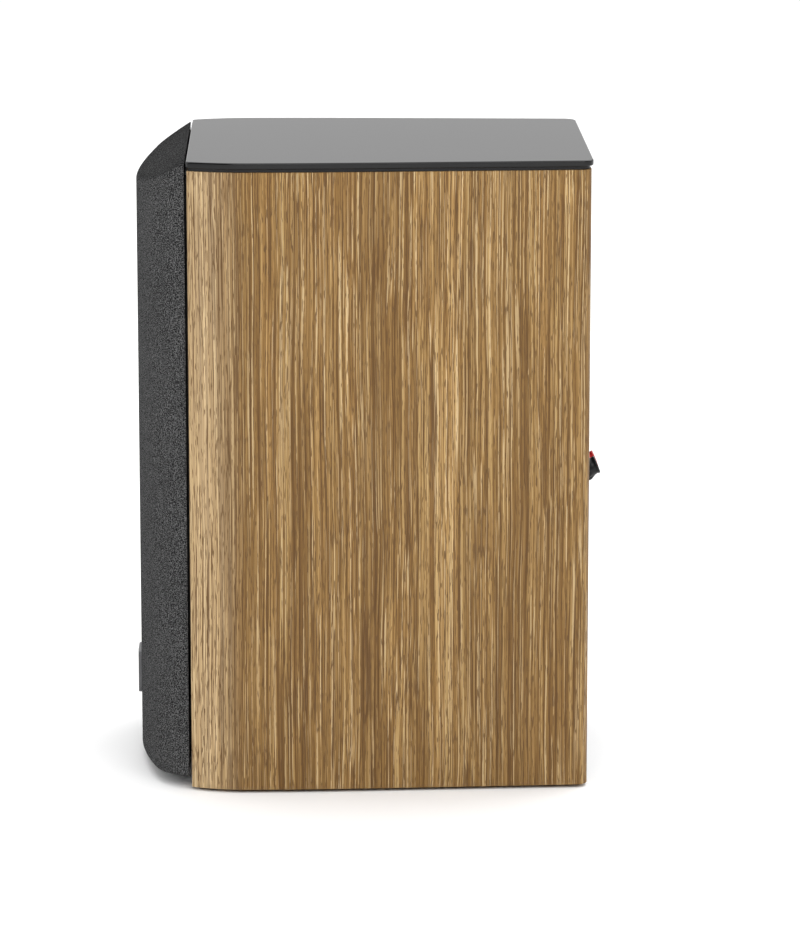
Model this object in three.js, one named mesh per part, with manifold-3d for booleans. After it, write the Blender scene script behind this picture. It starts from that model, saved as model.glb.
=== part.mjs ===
// Bookshelf loudspeaker: a two-way ported cabinet with bowed veneered sides, a glass top plate, a raised
// front panel round the drivers and a bulging cloth grille on four pegs.
//
// Units are millimetres, +Z is up and the front faces -Y. Inside the cabinet group, y = 0 is the front face
// of the cabinet, y grows towards the back, and z = 0 is the underside of the cabinet.

import * as THREE from 'three';
import { mergeVertices } from 'three/addons/utils/BufferGeometryUtils.js';
import Module from 'manifold-3d';

const wasm = await Module();
wasm.setup();

// ---------------------------------------------------------------------------------------------------------
// Driving dimensions
// ---------------------------------------------------------------------------------------------------------

// Clearance left between pieces that touch: flat faces, and faces that are curved, cut or tilted.
const GLUE_GAP = 0.15;
const LOOSE_GAP = 0.3;

// Cabinet. Each side curves in over its front stretch, runs straight, then tapers gently to the back.
const CABINET_HEIGHT = 392;
const CABINET_DEPTH = 250;
const CABINET_HALF_WIDTH = 109;
const FRONT_CURVE_DEPTH = 37;
const FRONT_INSET = 8.3;
const REAR_BEND_DEPTH = 80;
const REAR_BEND_RADIUS = 1580;
const REAR_CORNER_RADIUS = 7;
const FRONT_EDGE_RADIUS = 1.8;
const WALL = 15;
const BAFFLE_THICKNESS = 18;
const REAR_RECESS = 3;
const BRACE_BOTTOM = 228;
const BRACE_THICKNESS = 12;

// Top plate: a black spacer under a sheet of glass with rounded edges.
const SPACER_THICKNESS = 2;
const SPACER_INSET = 1;
const GLASS_THICKNESS = 4;
const GLASS_OVERHANG = 1.2;
const GLASS_FRONT_OVERHANG = 0.5;
const GLASS_EDGE_ROUND = 1.2;

// Feet.
const FOOT_HEIGHT = 2;
const FOOT_RADIUS = 9;
const FOOT_PLACES = [[-74, 30], [74, 30], [-70, 216], [70, 216]];

// Raised front panel.
const FASCIA_THICKNESS = 1.5;
const FASCIA_HALF_WIDTH = 88.5;
const FASCIA_TOP = 388;

// Woofer.
const WOOFER_Z = 119.5;
const TRIM_RADIUS = 84;
const FLANGE_RADIUS = 82;
const FLANGE_THICKNESS = 4;
const CONE_EDGE_RADIUS = 60;
const COIL_RADIUS = 15;
const COIL_WALL = 0.6;
const MAGNET_FRONT = 68;
const MAGNET_THICKNESS = 18;
const MAGNET_RADIUS = 48;
const TOP_PLATE_THICKNESS = 6;
const BASKET_FLOOR = 62;
const SPIDER_Y = 44;

// Tweeter.
const TWEETER_Z = 285;
const FACEPLATE_RADIUS = 58;
const TWEETER_MOTOR_RADIUS = 36;
const TWEETER_SCREW_CIRCLE = 51;
const DOME_RADIUS = 12.7;
const FACEPLATE_FRONT = -2.7;

// Screws.
const SCREW_RADIUS = 1.6;
const SCREW_LENGTH = 12;

// Bass port at the back.
const PORT_Z = 296;
const PORT_BORE_RADIUS = 25;
const PORT_TUBE_RADIUS = 27.5;
const PORT_FLARE_RADIUS = 9;
const PORT_COLLAR_RADIUS = 37;
const PORT_FLANGE_RADIUS = 43;
const PORT_FRONT = 128;

// Terminal cup: its floor faces backwards and upwards, square to the two binding posts.
const POST_TILT = THREE.MathUtils.degToRad(22);
const POST_SPACING = 19;
const KNOB_END = { y: 260.6, z: 188.4 };
const KNOB_LENGTH = 18;
const KNOB_RADIUS = 5.8;
const KNOB_BASE_RADIUS = 8;
const KNOB_BORE_RADIUS = 2.5;
const WASHER_THICKNESS = 1.5;
const WASHER_RADIUS = 6.4;
const COLLAR_HEIGHT = 4;
const COLLAR_RADIUS = 7;
const STUD_RADIUS = 2;
const STUD_TAIL = 11;
const CUP_CUTOUT = { halfWidth: 37, bottom: 151, top: 214 };
const CUP_FLANGE = { halfWidth: 46, bottom: 142, top: 223 };
const CUP_CAVITY_HALF_WIDTH = 32;
const CUP_WALL = 3;
const CUP_FLOOR_ABOVE_POSTS = 21;
const CUP_FLANGE_CORNER = 6;

// Grille: a moulded frame under cloth, bowed across its width, with a top face that slopes to the front.
const GRILLE_BACK = -1.8;
const GRILLE_FRONT = -34.2;
const GRILLE_HALF_WIDTH = 98.7;
const GRILLE_BOW_RADIUS = 280;
const GRILLE_BOW_HALF_WIDTH = 76;
const GRILLE_BOTTOM = 5.8;
const GRILLE_TOP_AT_BACK = 397.2;
const GRILLE_TOP_SLOPE = 0.6;
const CLOTH_THICKNESS = 0.8;
const GRILLE_WALL = 3.2;
const PEG_PLACES = [[-75, 28], [75, 28], [-75, 362], [75, 362]];
const PEG_RADIUS = 4;
const PEG_LENGTH = 9;
const PEG_BOSS_RADIUS = 9;
const SOCKET_FLANGE_RADIUS = 11;
const SOCKET_BODY_RADIUS = 6.5;
const SOCKET_BORE_RADIUS = 4.35;
const SOCKET_DEPTH = 12;
const BADGE = { halfWidth: 14, bottom: 39.3, top: 67.3, thickness: 2, corner: 4 };

// Mesh fineness.
const ARC_STEPS = 4;
const ROUND_STEPS = 28;
const SMALL_ROUND_STEPS = 12;
const TINY_ROUND_STEPS = 8;

const INSIDE_FRONT = BAFFLE_THICKNESS;
const INSIDE_BACK = CABINET_DEPTH - REAR_RECESS - WALL;
const REAR_FACE = CABINET_DEPTH - REAR_RECESS;
const FITTING_FACE = CABINET_DEPTH - 0.5;
const QUARTER_TURN = Math.PI / 2;

// ---------------------------------------------------------------------------------------------------------
// Solids
// ---------------------------------------------------------------------------------------------------------

// Turns a closed geometry into a manifold solid with its faces pointing out.
function toSolid(geometry) {
  const bare = geometry.clone();
  bare.deleteAttribute('normal');
  bare.deleteAttribute('uv');
  const merged = mergeVertices(bare, 1e-4);
  const corners = merged.index.array;
  const triangles = [];
  for (let i = 0; i < corners.length; i += 3) {
    const [a, b, c] = corners.slice(i, i + 3);
    if (a !== b && b !== c && c !== a) triangles.push(a, b, c);
  }
  const vertProperties = Float32Array.from(merged.attributes.position.array);
  if (signedVolume(vertProperties, triangles) < 0) triangles.reverse();
  const triVerts = Uint32Array.from(triangles);
  return new wasm.Manifold(new wasm.Mesh({ numProp: 3, vertProperties, triVerts }));
}

function signedVolume(positions, triangles) {
  const [a, b, c] = [new THREE.Vector3(), new THREE.Vector3(), new THREE.Vector3()];
  let volume = 0;
  for (let i = 0; i < triangles.length; i += 3) {
    a.fromArray(positions, triangles[i] * 3);
    b.fromArray(positions, triangles[i + 1] * 3);
    c.fromArray(positions, triangles[i + 2] * 3);
    volume += a.dot(b.cross(c)) / 6;
  }
  return volume;
}

function toGeometry(solid) {
  const { vertProperties, triVerts } = solid.getMesh();
  const geometry = new THREE.BufferGeometry();
  geometry.setAttribute('position', new THREE.BufferAttribute(Float32Array.from(vertProperties), 3));
  geometry.setIndex(Array.from(triVerts));
  return geometry;
}

function cut(geometry, ...tools) {
  const solid = tools.reduce((rest, tool) => rest.subtract(toSolid(tool)), toSolid(geometry));
  return toGeometry(solid);
}

function join(geometry, ...others) {
  const solid = others.reduce((whole, other) => whole.add(toSolid(other)), toSolid(geometry));
  return toGeometry(solid);
}

function common(geometry, other) {
  return toGeometry(toSolid(geometry).intersect(toSolid(other)));
}

// ---------------------------------------------------------------------------------------------------------
// Geometry helpers
// ---------------------------------------------------------------------------------------------------------

// A shape drawn in plan (x, y), standing from z = bottom to z = top.
function standing(shape, bottom, top) {
  const options = { depth: top - bottom, bevelEnabled: false, curveSegments: ARC_STEPS };
  return new THREE.ExtrudeGeometry(shape, options).translate(0, 0, bottom);
}

// A shape drawn in elevation (x, z), running from y = front to y = back.
function facing(shape, front, back, curveSegments = ARC_STEPS) {
  const options = { depth: back - front, bevelEnabled: false, curveSegments };
  return new THREE.ExtrudeGeometry(shape, options).rotateX(QUARTER_TURN).translate(0, back, 0);
}

// A shape drawn in side view (y, z), running from x = -halfWidth to x = +halfWidth.
function across(shape, halfWidth) {
  const options = { depth: 2 * halfWidth, bevelEnabled: false, curveSegments: ARC_STEPS };
  const geometry = new THREE.ExtrudeGeometry(shape, options);
  return geometry.rotateX(QUARTER_TURN).rotateZ(QUARTER_TURN).translate(-halfWidth, 0, 0);
}

// A ring or disc turned about the Y axis. The profile is a closed loop of [radius, y] points.
function turned(profile, steps = ROUND_STEPS) {
  const points = [...profile, profile[0]].map(([radius, y]) => new THREE.Vector2(radius, y));
  return new THREE.LatheGeometry(points, steps);
}

function disc(radius, front, back, steps = ROUND_STEPS) {
  return turned([[0, front], [radius, front], [radius, back], [0, back]], steps);
}

function ring(inner, outer, front, back, steps = ROUND_STEPS) {
  return turned([[inner, front], [outer, front], [outer, back], [inner, back]], steps);
}

function block(x, y, z) {
  const geometry = new THREE.BoxGeometry(x[1] - x[0], y[1] - y[0], z[1] - z[0]);
  return geometry.translate((x[0] + x[1]) / 2, (y[0] + y[1]) / 2, (z[0] + z[1]) / 2);
}

function polygon(points) {
  return new THREE.Shape(points.map(([x, y]) => new THREE.Vector2(x, y)));
}

// A rectangle with rounded corners, from its low corner to its high corner.
function roundedRectangle(left, bottom, right, top, radius) {
  const shape = new THREE.Shape();
  shape.absarc(left + radius, bottom + radius, radius, Math.PI, 1.5 * Math.PI);
  shape.absarc(right - radius, bottom + radius, radius, 1.5 * Math.PI, 2 * Math.PI);
  shape.absarc(right - radius, top - radius, radius, 0, QUARTER_TURN);
  shape.absarc(left + radius, top - radius, radius, QUARTER_TURN, Math.PI);
  return shape;
}

// A round lead that follows a smooth curve through its points.
function lead(points, radius, steps) {
  const route = new THREE.CatmullRomCurve3(points.map((point) => new THREE.Vector3(...point)));
  const section = new THREE.Shape().absarc(0, 0, radius, 0, 2 * Math.PI);
  const options = { steps, extrudePath: route, curveSegments: 4, bevelEnabled: false };
  return new THREE.ExtrudeGeometry(section, options);
}

// ---------------------------------------------------------------------------------------------------------
// The scene graph
// ---------------------------------------------------------------------------------------------------------

const FINISHES = {
  veneer: { color: 0xb4936a, roughness: 0.55, metalness: 0 },
  fibreboard: { color: 0x151515, roughness: 0.7, metalness: 0 },
  glass: { color: 0x8f9091, roughness: 0.08, metalness: 0 },
  blackPlastic: { color: 0x18181a, roughness: 0.5, metalness: 0 },
  redPlastic: { color: 0xa01318, roughness: 0.35, metalness: 0 },
  cloth: { color: 0x424242, roughness: 0.95, metalness: 0 },
  badge: { color: 0x5c5d5f, roughness: 0.35, metalness: 0.9 },
  rubber: { color: 0x101010, roughness: 0.8, metalness: 0 },
  cone: { color: 0x26272a, roughness: 0.6, metalness: 0 },
  silk: { color: 0x1c1c20, roughness: 0.75, metalness: 0 },
  castAlloy: { color: 0x2b2c2e, roughness: 0.5, metalness: 0.6 },
  steel: { color: 0x8d8f92, roughness: 0.4, metalness: 1 },
  ferrite: { color: 0x2a2a2b, roughness: 0.7, metalness: 0.2 },
  copper: { color: 0xb4683c, roughness: 0.4, metalness: 0.9 },
  brass: { color: 0xc9a75a, roughness: 0.3, metalness: 1 },
  board: { color: 0x2d5a37, roughness: 0.6, metalness: 0 },
  capacitor: { color: 0xb9892f, roughness: 0.5, metalness: 0 },
  wadding: { color: 0xcfcfc8, roughness: 1, metalness: 0 },
};

const cabinet = new THREE.Group();

function place(name, geometry, finish, parent = cabinet) {
  const solid = toGeometry(toSolid(geometry));
  solid.computeVertexNormals();
  const mesh = new THREE.Mesh(solid, new THREE.MeshStandardMaterial(FINISHES[finish]));
  mesh.name = name;
  parent.add(mesh);
  return mesh;
}

function groupAt(x, y, z) {
  const group = new THREE.Group();
  group.position.set(x, y, z);
  cabinet.add(group);
  return group;
}

// ---------------------------------------------------------------------------------------------------------
// Cabinet
// ---------------------------------------------------------------------------------------------------------

// Half the cabinet's width at a distance back from its front face.
function halfWidthAt(depth) {
  if (depth < FRONT_CURVE_DEPTH) {
    const short = (FRONT_CURVE_DEPTH - depth) / FRONT_CURVE_DEPTH;
    return CABINET_HALF_WIDTH - FRONT_INSET * short * short;
  }
  const bent = Math.min(depth - FRONT_CURVE_DEPTH, REAR_BEND_DEPTH);
  const straight = depth - FRONT_CURVE_DEPTH - bent;
  return CABINET_HALF_WIDTH - bent * (bent / 2 + straight) / REAR_BEND_RADIUS;
}

// Points along the right side, a distance inside its outer face, from one depth to another.
function sidePath(inset, from, to) {
  const depths = [from];
  for (let i = 1; i <= 8; i += 1) depths.push((FRONT_CURVE_DEPTH * i) / 8);
  for (let i = 1; i <= 4; i += 1) depths.push(FRONT_CURVE_DEPTH + (REAR_BEND_DEPTH * i) / 4);
  const between = depths.slice(1).filter((depth) => depth > from && depth < to);
  return [from, ...between, to].map((depth) => new THREE.Vector2(halfWidthAt(depth) - inset, depth));
}

function mirrored(points) {
  return points.map((point) => new THREE.Vector2(-point.x, point.y)).reverse();
}

// The plan of a panel that fits between the cabinet's two sides.
function planBetweenSides(inset, from, to) {
  const right = sidePath(inset, from, to);
  return new THREE.Shape([...right, ...mirrored(right)]);
}

function sidePanelPlan() {
  const front = halfWidthAt(0);
  const cornerY = CABINET_DEPTH - REAR_CORNER_RADIUS;
  const cornerX = halfWidthAt(cornerY) - REAR_CORNER_RADIUS;
  const plan = new THREE.Shape();
  plan.moveTo(front - WALL, 0);
  const edge = FRONT_EDGE_RADIUS;
  plan.absarc(halfWidthAt(edge) - edge, edge, edge, -QUARTER_TURN, 0);
  sidePath(0, edge, cornerY).slice(1).forEach((point) => plan.lineTo(point.x, point.y));
  plan.absarc(cornerX, cornerY, REAR_CORNER_RADIUS, 0, QUARTER_TURN);
  sidePath(WALL, 0, CABINET_DEPTH).reverse().forEach((point) => plan.lineTo(point.x, point.y));
  return plan;
}

function addCabinetPanels() {
  const rightPlan = sidePanelPlan();
  const leftPlan = new THREE.Shape(mirrored(rightPlan.getPoints(ARC_STEPS)));
  place('side_panel_right', standing(rightPlan, 0, CABINET_HEIGHT), 'veneer');
  place('side_panel_left', standing(leftPlan, 0, CABINET_HEIGHT), 'veneer');

  const fit = WALL + GLUE_GAP;
  const inside = planBetweenSides(fit, INSIDE_FRONT + GLUE_GAP, INSIDE_BACK - GLUE_GAP);
  place('top_panel', standing(inside, CABINET_HEIGHT - WALL, CABINET_HEIGHT), 'fibreboard');
  place('bottom_panel', standing(inside, 0, WALL), 'fibreboard');

  const window = roundedRectangle(-60, 46, 60, 204, 16);
  const brace = planBetweenSides(fit, INSIDE_FRONT + GLUE_GAP, INSIDE_BACK - GLUE_GAP);
  brace.holes.push(window);
  const braceTop = BRACE_BOTTOM + BRACE_THICKNESS;
  place('internal_brace', standing(brace, BRACE_BOTTOM, braceTop), 'fibreboard');
}

function addBaffle() {
  const plan = planBetweenSides(WALL + GLUE_GAP, 0, BAFFLE_THICKNESS);
  const woofer = [
    disc(FLANGE_RADIUS + LOOSE_GAP, -1, FLANGE_THICKNESS + LOOSE_GAP),
    disc(76, 0, BAFFLE_THICKNESS + 1),
  ];
  const tweeter = [
    disc(TWEETER_MOTOR_RADIUS + 1, -1, BAFFLE_THICKNESS + 1),
    ...tweeterScrewPlaces().map((spot) => screwHole(spot, -1, SCREW_LENGTH)),
  ];
  const holes = [
    ...woofer.map((hole) => hole.translate(0, 0, WOOFER_Z)),
    ...tweeter.map((hole) => hole.translate(0, 0, TWEETER_Z)),
  ];
  for (const [x, z] of PEG_PLACES) {
    const hole = disc(SOCKET_BODY_RADIUS + LOOSE_GAP, -1, SOCKET_DEPTH + LOOSE_GAP, SMALL_ROUND_STEPS);
    holes.push(hole.translate(x, 0, z));
  }
  place('front_baffle', cut(standing(plan, 0, CABINET_HEIGHT), ...holes), 'fibreboard');
}

function addRearPanel() {
  const plan = planBetweenSides(WALL + GLUE_GAP, INSIDE_BACK, REAR_FACE);
  const portHole = disc(PORT_COLLAR_RADIUS + LOOSE_GAP, INSIDE_BACK - 1, CABINET_DEPTH);
  const { halfWidth, bottom, top } = CUP_CUTOUT;
  const cupHole = block([-halfWidth, halfWidth], [INSIDE_BACK - 1, CABINET_DEPTH], [bottom, top]);
  const screwHoles = cupScrewPlaces().map((spot) => screwHole(spot, INSIDE_BACK + 1, CABINET_DEPTH));
  const holes = [portHole.translate(0, 0, PORT_Z), cupHole, ...screwHoles];
  place('rear_panel', cut(standing(plan, 0, CABINET_HEIGHT), ...holes), 'fibreboard');
}

// The plan of the top plates: the cabinet's own plan, offset outwards, with rounded corners.
function topPlatePlan(overhang, frontOverhang, frontCorner, rearCorner) {
  const front = -frontOverhang;
  const back = CABINET_DEPTH + overhang;
  const frontX = halfWidthAt(frontCorner) + overhang - frontCorner;
  const rearX = halfWidthAt(back - rearCorner) + overhang - rearCorner;
  const right = sidePath(-overhang, front + frontCorner, back - rearCorner);
  const plan = new THREE.Shape();
  plan.absarc(frontX, front + frontCorner, frontCorner, -QUARTER_TURN, 0);
  right.slice(1, -1).forEach((point) => plan.lineTo(point.x, point.y));
  plan.absarc(rearX, back - rearCorner, rearCorner, 0, QUARTER_TURN);
  const half = plan.getPoints(ARC_STEPS);
  return new THREE.Shape([...half, ...mirrored(half)]);
}

function addTopPlates() {
  const spacer = topPlatePlan(-SPACER_INSET, -SPACER_INSET, 2, REAR_CORNER_RADIUS);
  const spacerBottom = CABINET_HEIGHT + GLUE_GAP / 2;
  const spacerTop = CABINET_HEIGHT + SPACER_THICKNESS - GLUE_GAP / 2;
  place('top_spacer', standing(spacer, spacerBottom, spacerTop), 'blackPlastic');

  const glass = topPlatePlan(GLASS_OVERHANG, GLASS_FRONT_OVERHANG, 3, REAR_CORNER_RADIUS + 1);
  const options = {
    depth: GLASS_THICKNESS - 2 * GLASS_EDGE_ROUND,
    bevelThickness: GLASS_EDGE_ROUND,
    bevelSize: GLASS_EDGE_ROUND,
    bevelOffset: -GLASS_EDGE_ROUND,
    bevelSegments: 2,
  };
  const bottom = CABINET_HEIGHT + SPACER_THICKNESS + GLASS_EDGE_ROUND;
  place('glass_top', new THREE.ExtrudeGeometry(glass, options).translate(0, 0, bottom), 'glass');
}

function addFeet() {
  FOOT_PLACES.forEach(([x, y], index) => {
    const foot = new THREE.CylinderGeometry(FOOT_RADIUS, FOOT_RADIUS, FOOT_HEIGHT - GLUE_GAP, 20);
    foot.rotateX(QUARTER_TURN).translate(x, y, -(FOOT_HEIGHT + GLUE_GAP) / 2);
    place(`foot_${index + 1}`, foot, 'rubber');
  });
}

// The raised front panel: round below, concentric with the woofer, and straight-sided above it.
function addFascia() {
  const outline = new THREE.Shape();
  outline.absarc(0, WOOFER_Z, FASCIA_HALF_WIDTH, Math.PI, 2 * Math.PI);
  outline.lineTo(FASCIA_HALF_WIDTH, FASCIA_TOP);
  outline.lineTo(-FASCIA_HALF_WIDTH, FASCIA_TOP);
  const through = [-FASCIA_THICKNESS - 1, 1];
  const holes = [
    disc(TRIM_RADIUS + LOOSE_GAP, ...through).translate(0, 0, WOOFER_Z),
    disc(FACEPLATE_RADIUS + LOOSE_GAP, ...through).translate(0, 0, TWEETER_Z),
  ];
  for (const [x, z] of PEG_PLACES.filter(([, height]) => height > WOOFER_Z)) {
    const hole = disc(SOCKET_FLANGE_RADIUS + LOOSE_GAP, ...through, SMALL_ROUND_STEPS);
    holes.push(hole.translate(x, 0, z));
  }
  const panel = facing(outline, -FASCIA_THICKNESS, -GLUE_GAP, 24);
  place('baffle_fascia', cut(panel, ...holes), 'blackPlastic');
}

function addGrilleSockets() {
  const profile = [
    [SOCKET_BORE_RADIUS, -FASCIA_THICKNESS],
    [SOCKET_FLANGE_RADIUS, -FASCIA_THICKNESS],
    [SOCKET_FLANGE_RADIUS, -GLUE_GAP],
    [SOCKET_BODY_RADIUS, -GLUE_GAP],
    [SOCKET_BODY_RADIUS, SOCKET_DEPTH],
    [SOCKET_BORE_RADIUS, SOCKET_DEPTH],
  ];
  PEG_PLACES.forEach(([x, z], index) => {
    place(`grille_socket_${index + 1}`, turned(profile, SMALL_ROUND_STEPS), 'rubber', groupAt(x, 0, z));
  });
}

// ---------------------------------------------------------------------------------------------------------
// Woofer, turned about its own axis: y = 0 is the baffle's front face
// ---------------------------------------------------------------------------------------------------------

function basketGeometry() {
  const profile = [
    [72, 0], [FLANGE_RADIUS, 0], [FLANGE_RADIUS, FLANGE_THICKNESS], [75.5, FLANGE_THICKNESS],
    [73, 12], [51, 44], [51, BASKET_FLOOR], [17, BASKET_FLOOR], [17, BASKET_FLOOR - 4],
    [46, BASKET_FLOOR - 4], [46, SPIDER_Y + 6], [41, SPIDER_Y + 6], [41, SPIDER_Y + 1], [48.5, SPIDER_Y + 1],
    [48.5, 42], [70, 11],
  ];
  const windows = [];
  for (let i = 0; i < 6; i += 1) {
    const opening = block([44, 90], [16, 40], [-17, 17]);
    windows.push(opening.rotateY((i * Math.PI) / 3));
  }
  return cut(turned(profile), ...windows);
}

function surroundGeometry() {
  const middle = 67;
  const rollRadius = 6;
  const front = [];
  const back = [];
  for (let i = 0; i <= 5; i += 1) {
    const angle = Math.PI - (i * Math.PI) / 5;
    front.push([middle + rollRadius * Math.cos(angle), -1.1 - rollRadius * Math.sin(angle)]);
    const inner = rollRadius - 0.9;
    back.unshift([middle + inner * Math.cos(angle), -0.2 - inner * Math.sin(angle)]);
  }
  return turned([[57, -0.4], [57, -1.1], ...front, [80, -1.1], [80, -0.2], ...back, [58, -0.2]]);
}

// The cone's front face at a radius: it deepens from its edge to its neck on a gentle curve.
function coneFrontAt(radius) {
  const inward = (CONE_EDGE_RADIUS - radius) / (CONE_EDGE_RADIUS - COIL_RADIUS);
  return 0.3 + 23 * inward - 4 * inward * inward;
}

function coneGeometry() {
  const neck = COIL_RADIUS + COIL_WALL + LOOSE_GAP;
  const front = [];
  for (let i = 0; i <= 5; i += 1) {
    const radius = neck + ((CONE_EDGE_RADIUS - neck) * i) / 5;
    front.push([radius, coneFrontAt(radius)]);
  }
  const back = front.map(([radius, y]) => [radius, y + 1.4]).reverse();
  return turned([...front, ...back]);
}

function dustCapGeometry() {
  const base = 22;
  const height = 7;
  const rim = coneFrontAt(base) - 0.9;
  const bowl = (base * base + height * height) / (2 * height);
  const outside = [];
  const inside = [];
  for (let i = 0; i <= 4; i += 1) {
    const radius = (base * i) / 4;
    const rise = Math.sqrt(bowl * bowl - radius * radius) - (bowl - height);
    outside.push([radius, rim - rise]);
    inside.unshift([radius * 0.96, rim - rise * 0.92 + 0.4]);
  }
  return turned([...outside, ...inside], 20);
}

function spiderGeometry() {
  const inner = COIL_RADIUS + COIL_WALL + 0.25;
  const outer = 39;
  const steps = 8;
  const front = [];
  for (let i = 0; i <= steps; i += 1) {
    const wave = 1.3 * Math.sin((i * Math.PI) / 2);
    front.push([inner + ((outer - inner) * i) / steps, SPIDER_Y + wave]);
  }
  front.push([46, SPIDER_Y]);
  const back = front.map(([radius, y]) => [radius, y + 0.7]).reverse();
  return turned([...front, ...back], 20);
}

function addWoofer() {
  const woofer = groupAt(0, 0, WOOFER_Z);
  place('woofer_basket', basketGeometry(), 'castAlloy', woofer);

  const trim = [
    [74, -2.2], [76, -FASCIA_THICKNESS - 1.4], [TRIM_RADIUS - 1, -FASCIA_THICKNESS - 1.4],
    [TRIM_RADIUS, -FASCIA_THICKNESS - 0.4], [TRIM_RADIUS, -GLUE_GAP],
    [81, -GLUE_GAP], [81, -1.4], [74, -1.4],
  ];
  place('woofer_trim_ring', turned(trim), 'blackPlastic', woofer);
  place('woofer_surround', surroundGeometry(), 'rubber', woofer);
  place('woofer_cone', coneGeometry(), 'cone', woofer);
  place('woofer_dust_cap', dustCapGeometry(), 'cone', woofer);
  place('woofer_spider', spiderGeometry(), 'cloth', woofer);

  const coil = ring(COIL_RADIUS, COIL_RADIUS + COIL_WALL, 19, MAGNET_FRONT, 20);
  place('woofer_voice_coil', coil, 'copper', woofer);

  const coilHole = COIL_RADIUS + COIL_WALL + 0.7;
  const plateFront = MAGNET_FRONT - TOP_PLATE_THICKNESS + GLUE_GAP;
  const plate = ring(coilHole, MAGNET_RADIUS - 3, plateFront, MAGNET_FRONT);
  place('woofer_top_plate', plate, 'steel', woofer);
  const magnetBack = MAGNET_FRONT + MAGNET_THICKNESS;
  const magnet = ring(22, MAGNET_RADIUS, MAGNET_FRONT + GLUE_GAP, magnetBack - GLUE_GAP);
  place('woofer_magnet', magnet, 'ferrite', woofer);

  const pole = COIL_RADIUS - 0.7;
  const yoke = [
    [0, plateFront], [pole, plateFront], [pole, magnetBack], [MAGNET_RADIUS - 3, magnetBack],
    [MAGNET_RADIUS - 3, magnetBack + 5], [MAGNET_RADIUS - 5, magnetBack + 7], [0, magnetBack + 7],
  ];
  place('woofer_yoke', turned(yoke), 'steel', woofer);
}

// ---------------------------------------------------------------------------------------------------------
// Tweeter, turned about its own axis: y = 0 is the baffle's front face
// ---------------------------------------------------------------------------------------------------------

function faceplateGeometry() {
  const throat = { radius: 17, y: 6 };
  const mouth = { radius: 42, y: FACEPLATE_FRONT };
  const horn = [];
  for (let i = 0; i <= 5; i += 1) {
    const out = i / 5;
    const radius = throat.radius + (mouth.radius - throat.radius) * out;
    horn.push([radius, throat.y + (mouth.y - throat.y) * Math.sin(out * QUARTER_TURN)]);
  }
  const rim = [
    [FACEPLATE_RADIUS - 1, mouth.y], [FACEPLATE_RADIUS, mouth.y + 1], [FACEPLATE_RADIUS, -GLUE_GAP],
    [TWEETER_MOTOR_RADIUS, -GLUE_GAP], [TWEETER_MOTOR_RADIUS, 9], [throat.radius, 9],
  ];
  const holes = tweeterScrewPlaces().map((spot) => screwHole(spot, FACEPLATE_FRONT - 1, 1));
  return cut(turned([...horn, ...rim]), ...holes);
}

function tweeterScrewPlaces() {
  const places = [];
  for (let i = 0; i < 4; i += 1) {
    const angle = Math.PI / 4 + i * QUARTER_TURN;
    places.push([TWEETER_SCREW_CIRCLE * Math.cos(angle), TWEETER_SCREW_CIRCLE * Math.sin(angle)]);
  }
  return places;
}

function domeGeometry() {
  const height = 4.5;
  const rim = 8;
  const bowl = (DOME_RADIUS ** 2 + height ** 2) / (2 * height);
  const outside = [];
  const inside = [];
  for (let i = 0; i <= 5; i += 1) {
    const radius = (DOME_RADIUS * i) / 5;
    const rise = Math.sqrt(bowl ** 2 - radius ** 2) - (bowl - height);
    outside.push([radius, rim - rise]);
    inside.unshift([radius * 0.95, rim - rise * 0.9 + 0.2]);
  }
  const skirt = [[DOME_RADIUS, 13], [DOME_RADIUS * 0.95, 13]];
  return turned([...outside, ...skirt, ...inside], 16);
}

// A pan-head screw that clamps the face at y = 0, with its cross recess turned towards -Y.
function screwGeometry(length) {
  const profile = [
    [0, -2], [2.4, -2], [3.4, -1], [3.4, -GLUE_GAP],
    [SCREW_RADIUS, -GLUE_GAP], [SCREW_RADIUS, length], [0, length],
  ];
  const slot = block([-0.4, 0.4], [-3, -1], [-1.8, 1.8]);
  const cross = block([-1.8, 1.8], [-3, -1], [-0.4, 0.4]);
  return cut(turned(profile, TINY_ROUND_STEPS), slot, cross);
}

// The hole that a screw at (x, z) runs in.
function screwHole([x, z], front, back) {
  return disc(SCREW_RADIUS + LOOSE_GAP, front, back, TINY_ROUND_STEPS).translate(x, 0, z);
}

function addTweeter() {
  const tweeter = groupAt(0, 0, TWEETER_Z);
  place('tweeter_faceplate', faceplateGeometry(), 'blackPlastic', tweeter);
  place('tweeter_dome', domeGeometry(), 'silk', tweeter);

  const front = 9 + GLUE_GAP;
  const motor = disc(TWEETER_MOTOR_RADIUS, front, 42);
  const groove = ring(DOME_RADIUS - 1.6, DOME_RADIUS + 1, front - 1, 17);
  place('tweeter_motor', cut(motor, groove), 'steel', tweeter);

  tweeterScrewPlaces().forEach(([x, z], index) => {
    const screw = screwGeometry(SCREW_LENGTH).translate(x, FACEPLATE_FRONT, z);
    place(`tweeter_screw_${index + 1}`, screw, 'steel', tweeter);
  });
}

// ---------------------------------------------------------------------------------------------------------
// Back of the cabinet
// ---------------------------------------------------------------------------------------------------------

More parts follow.
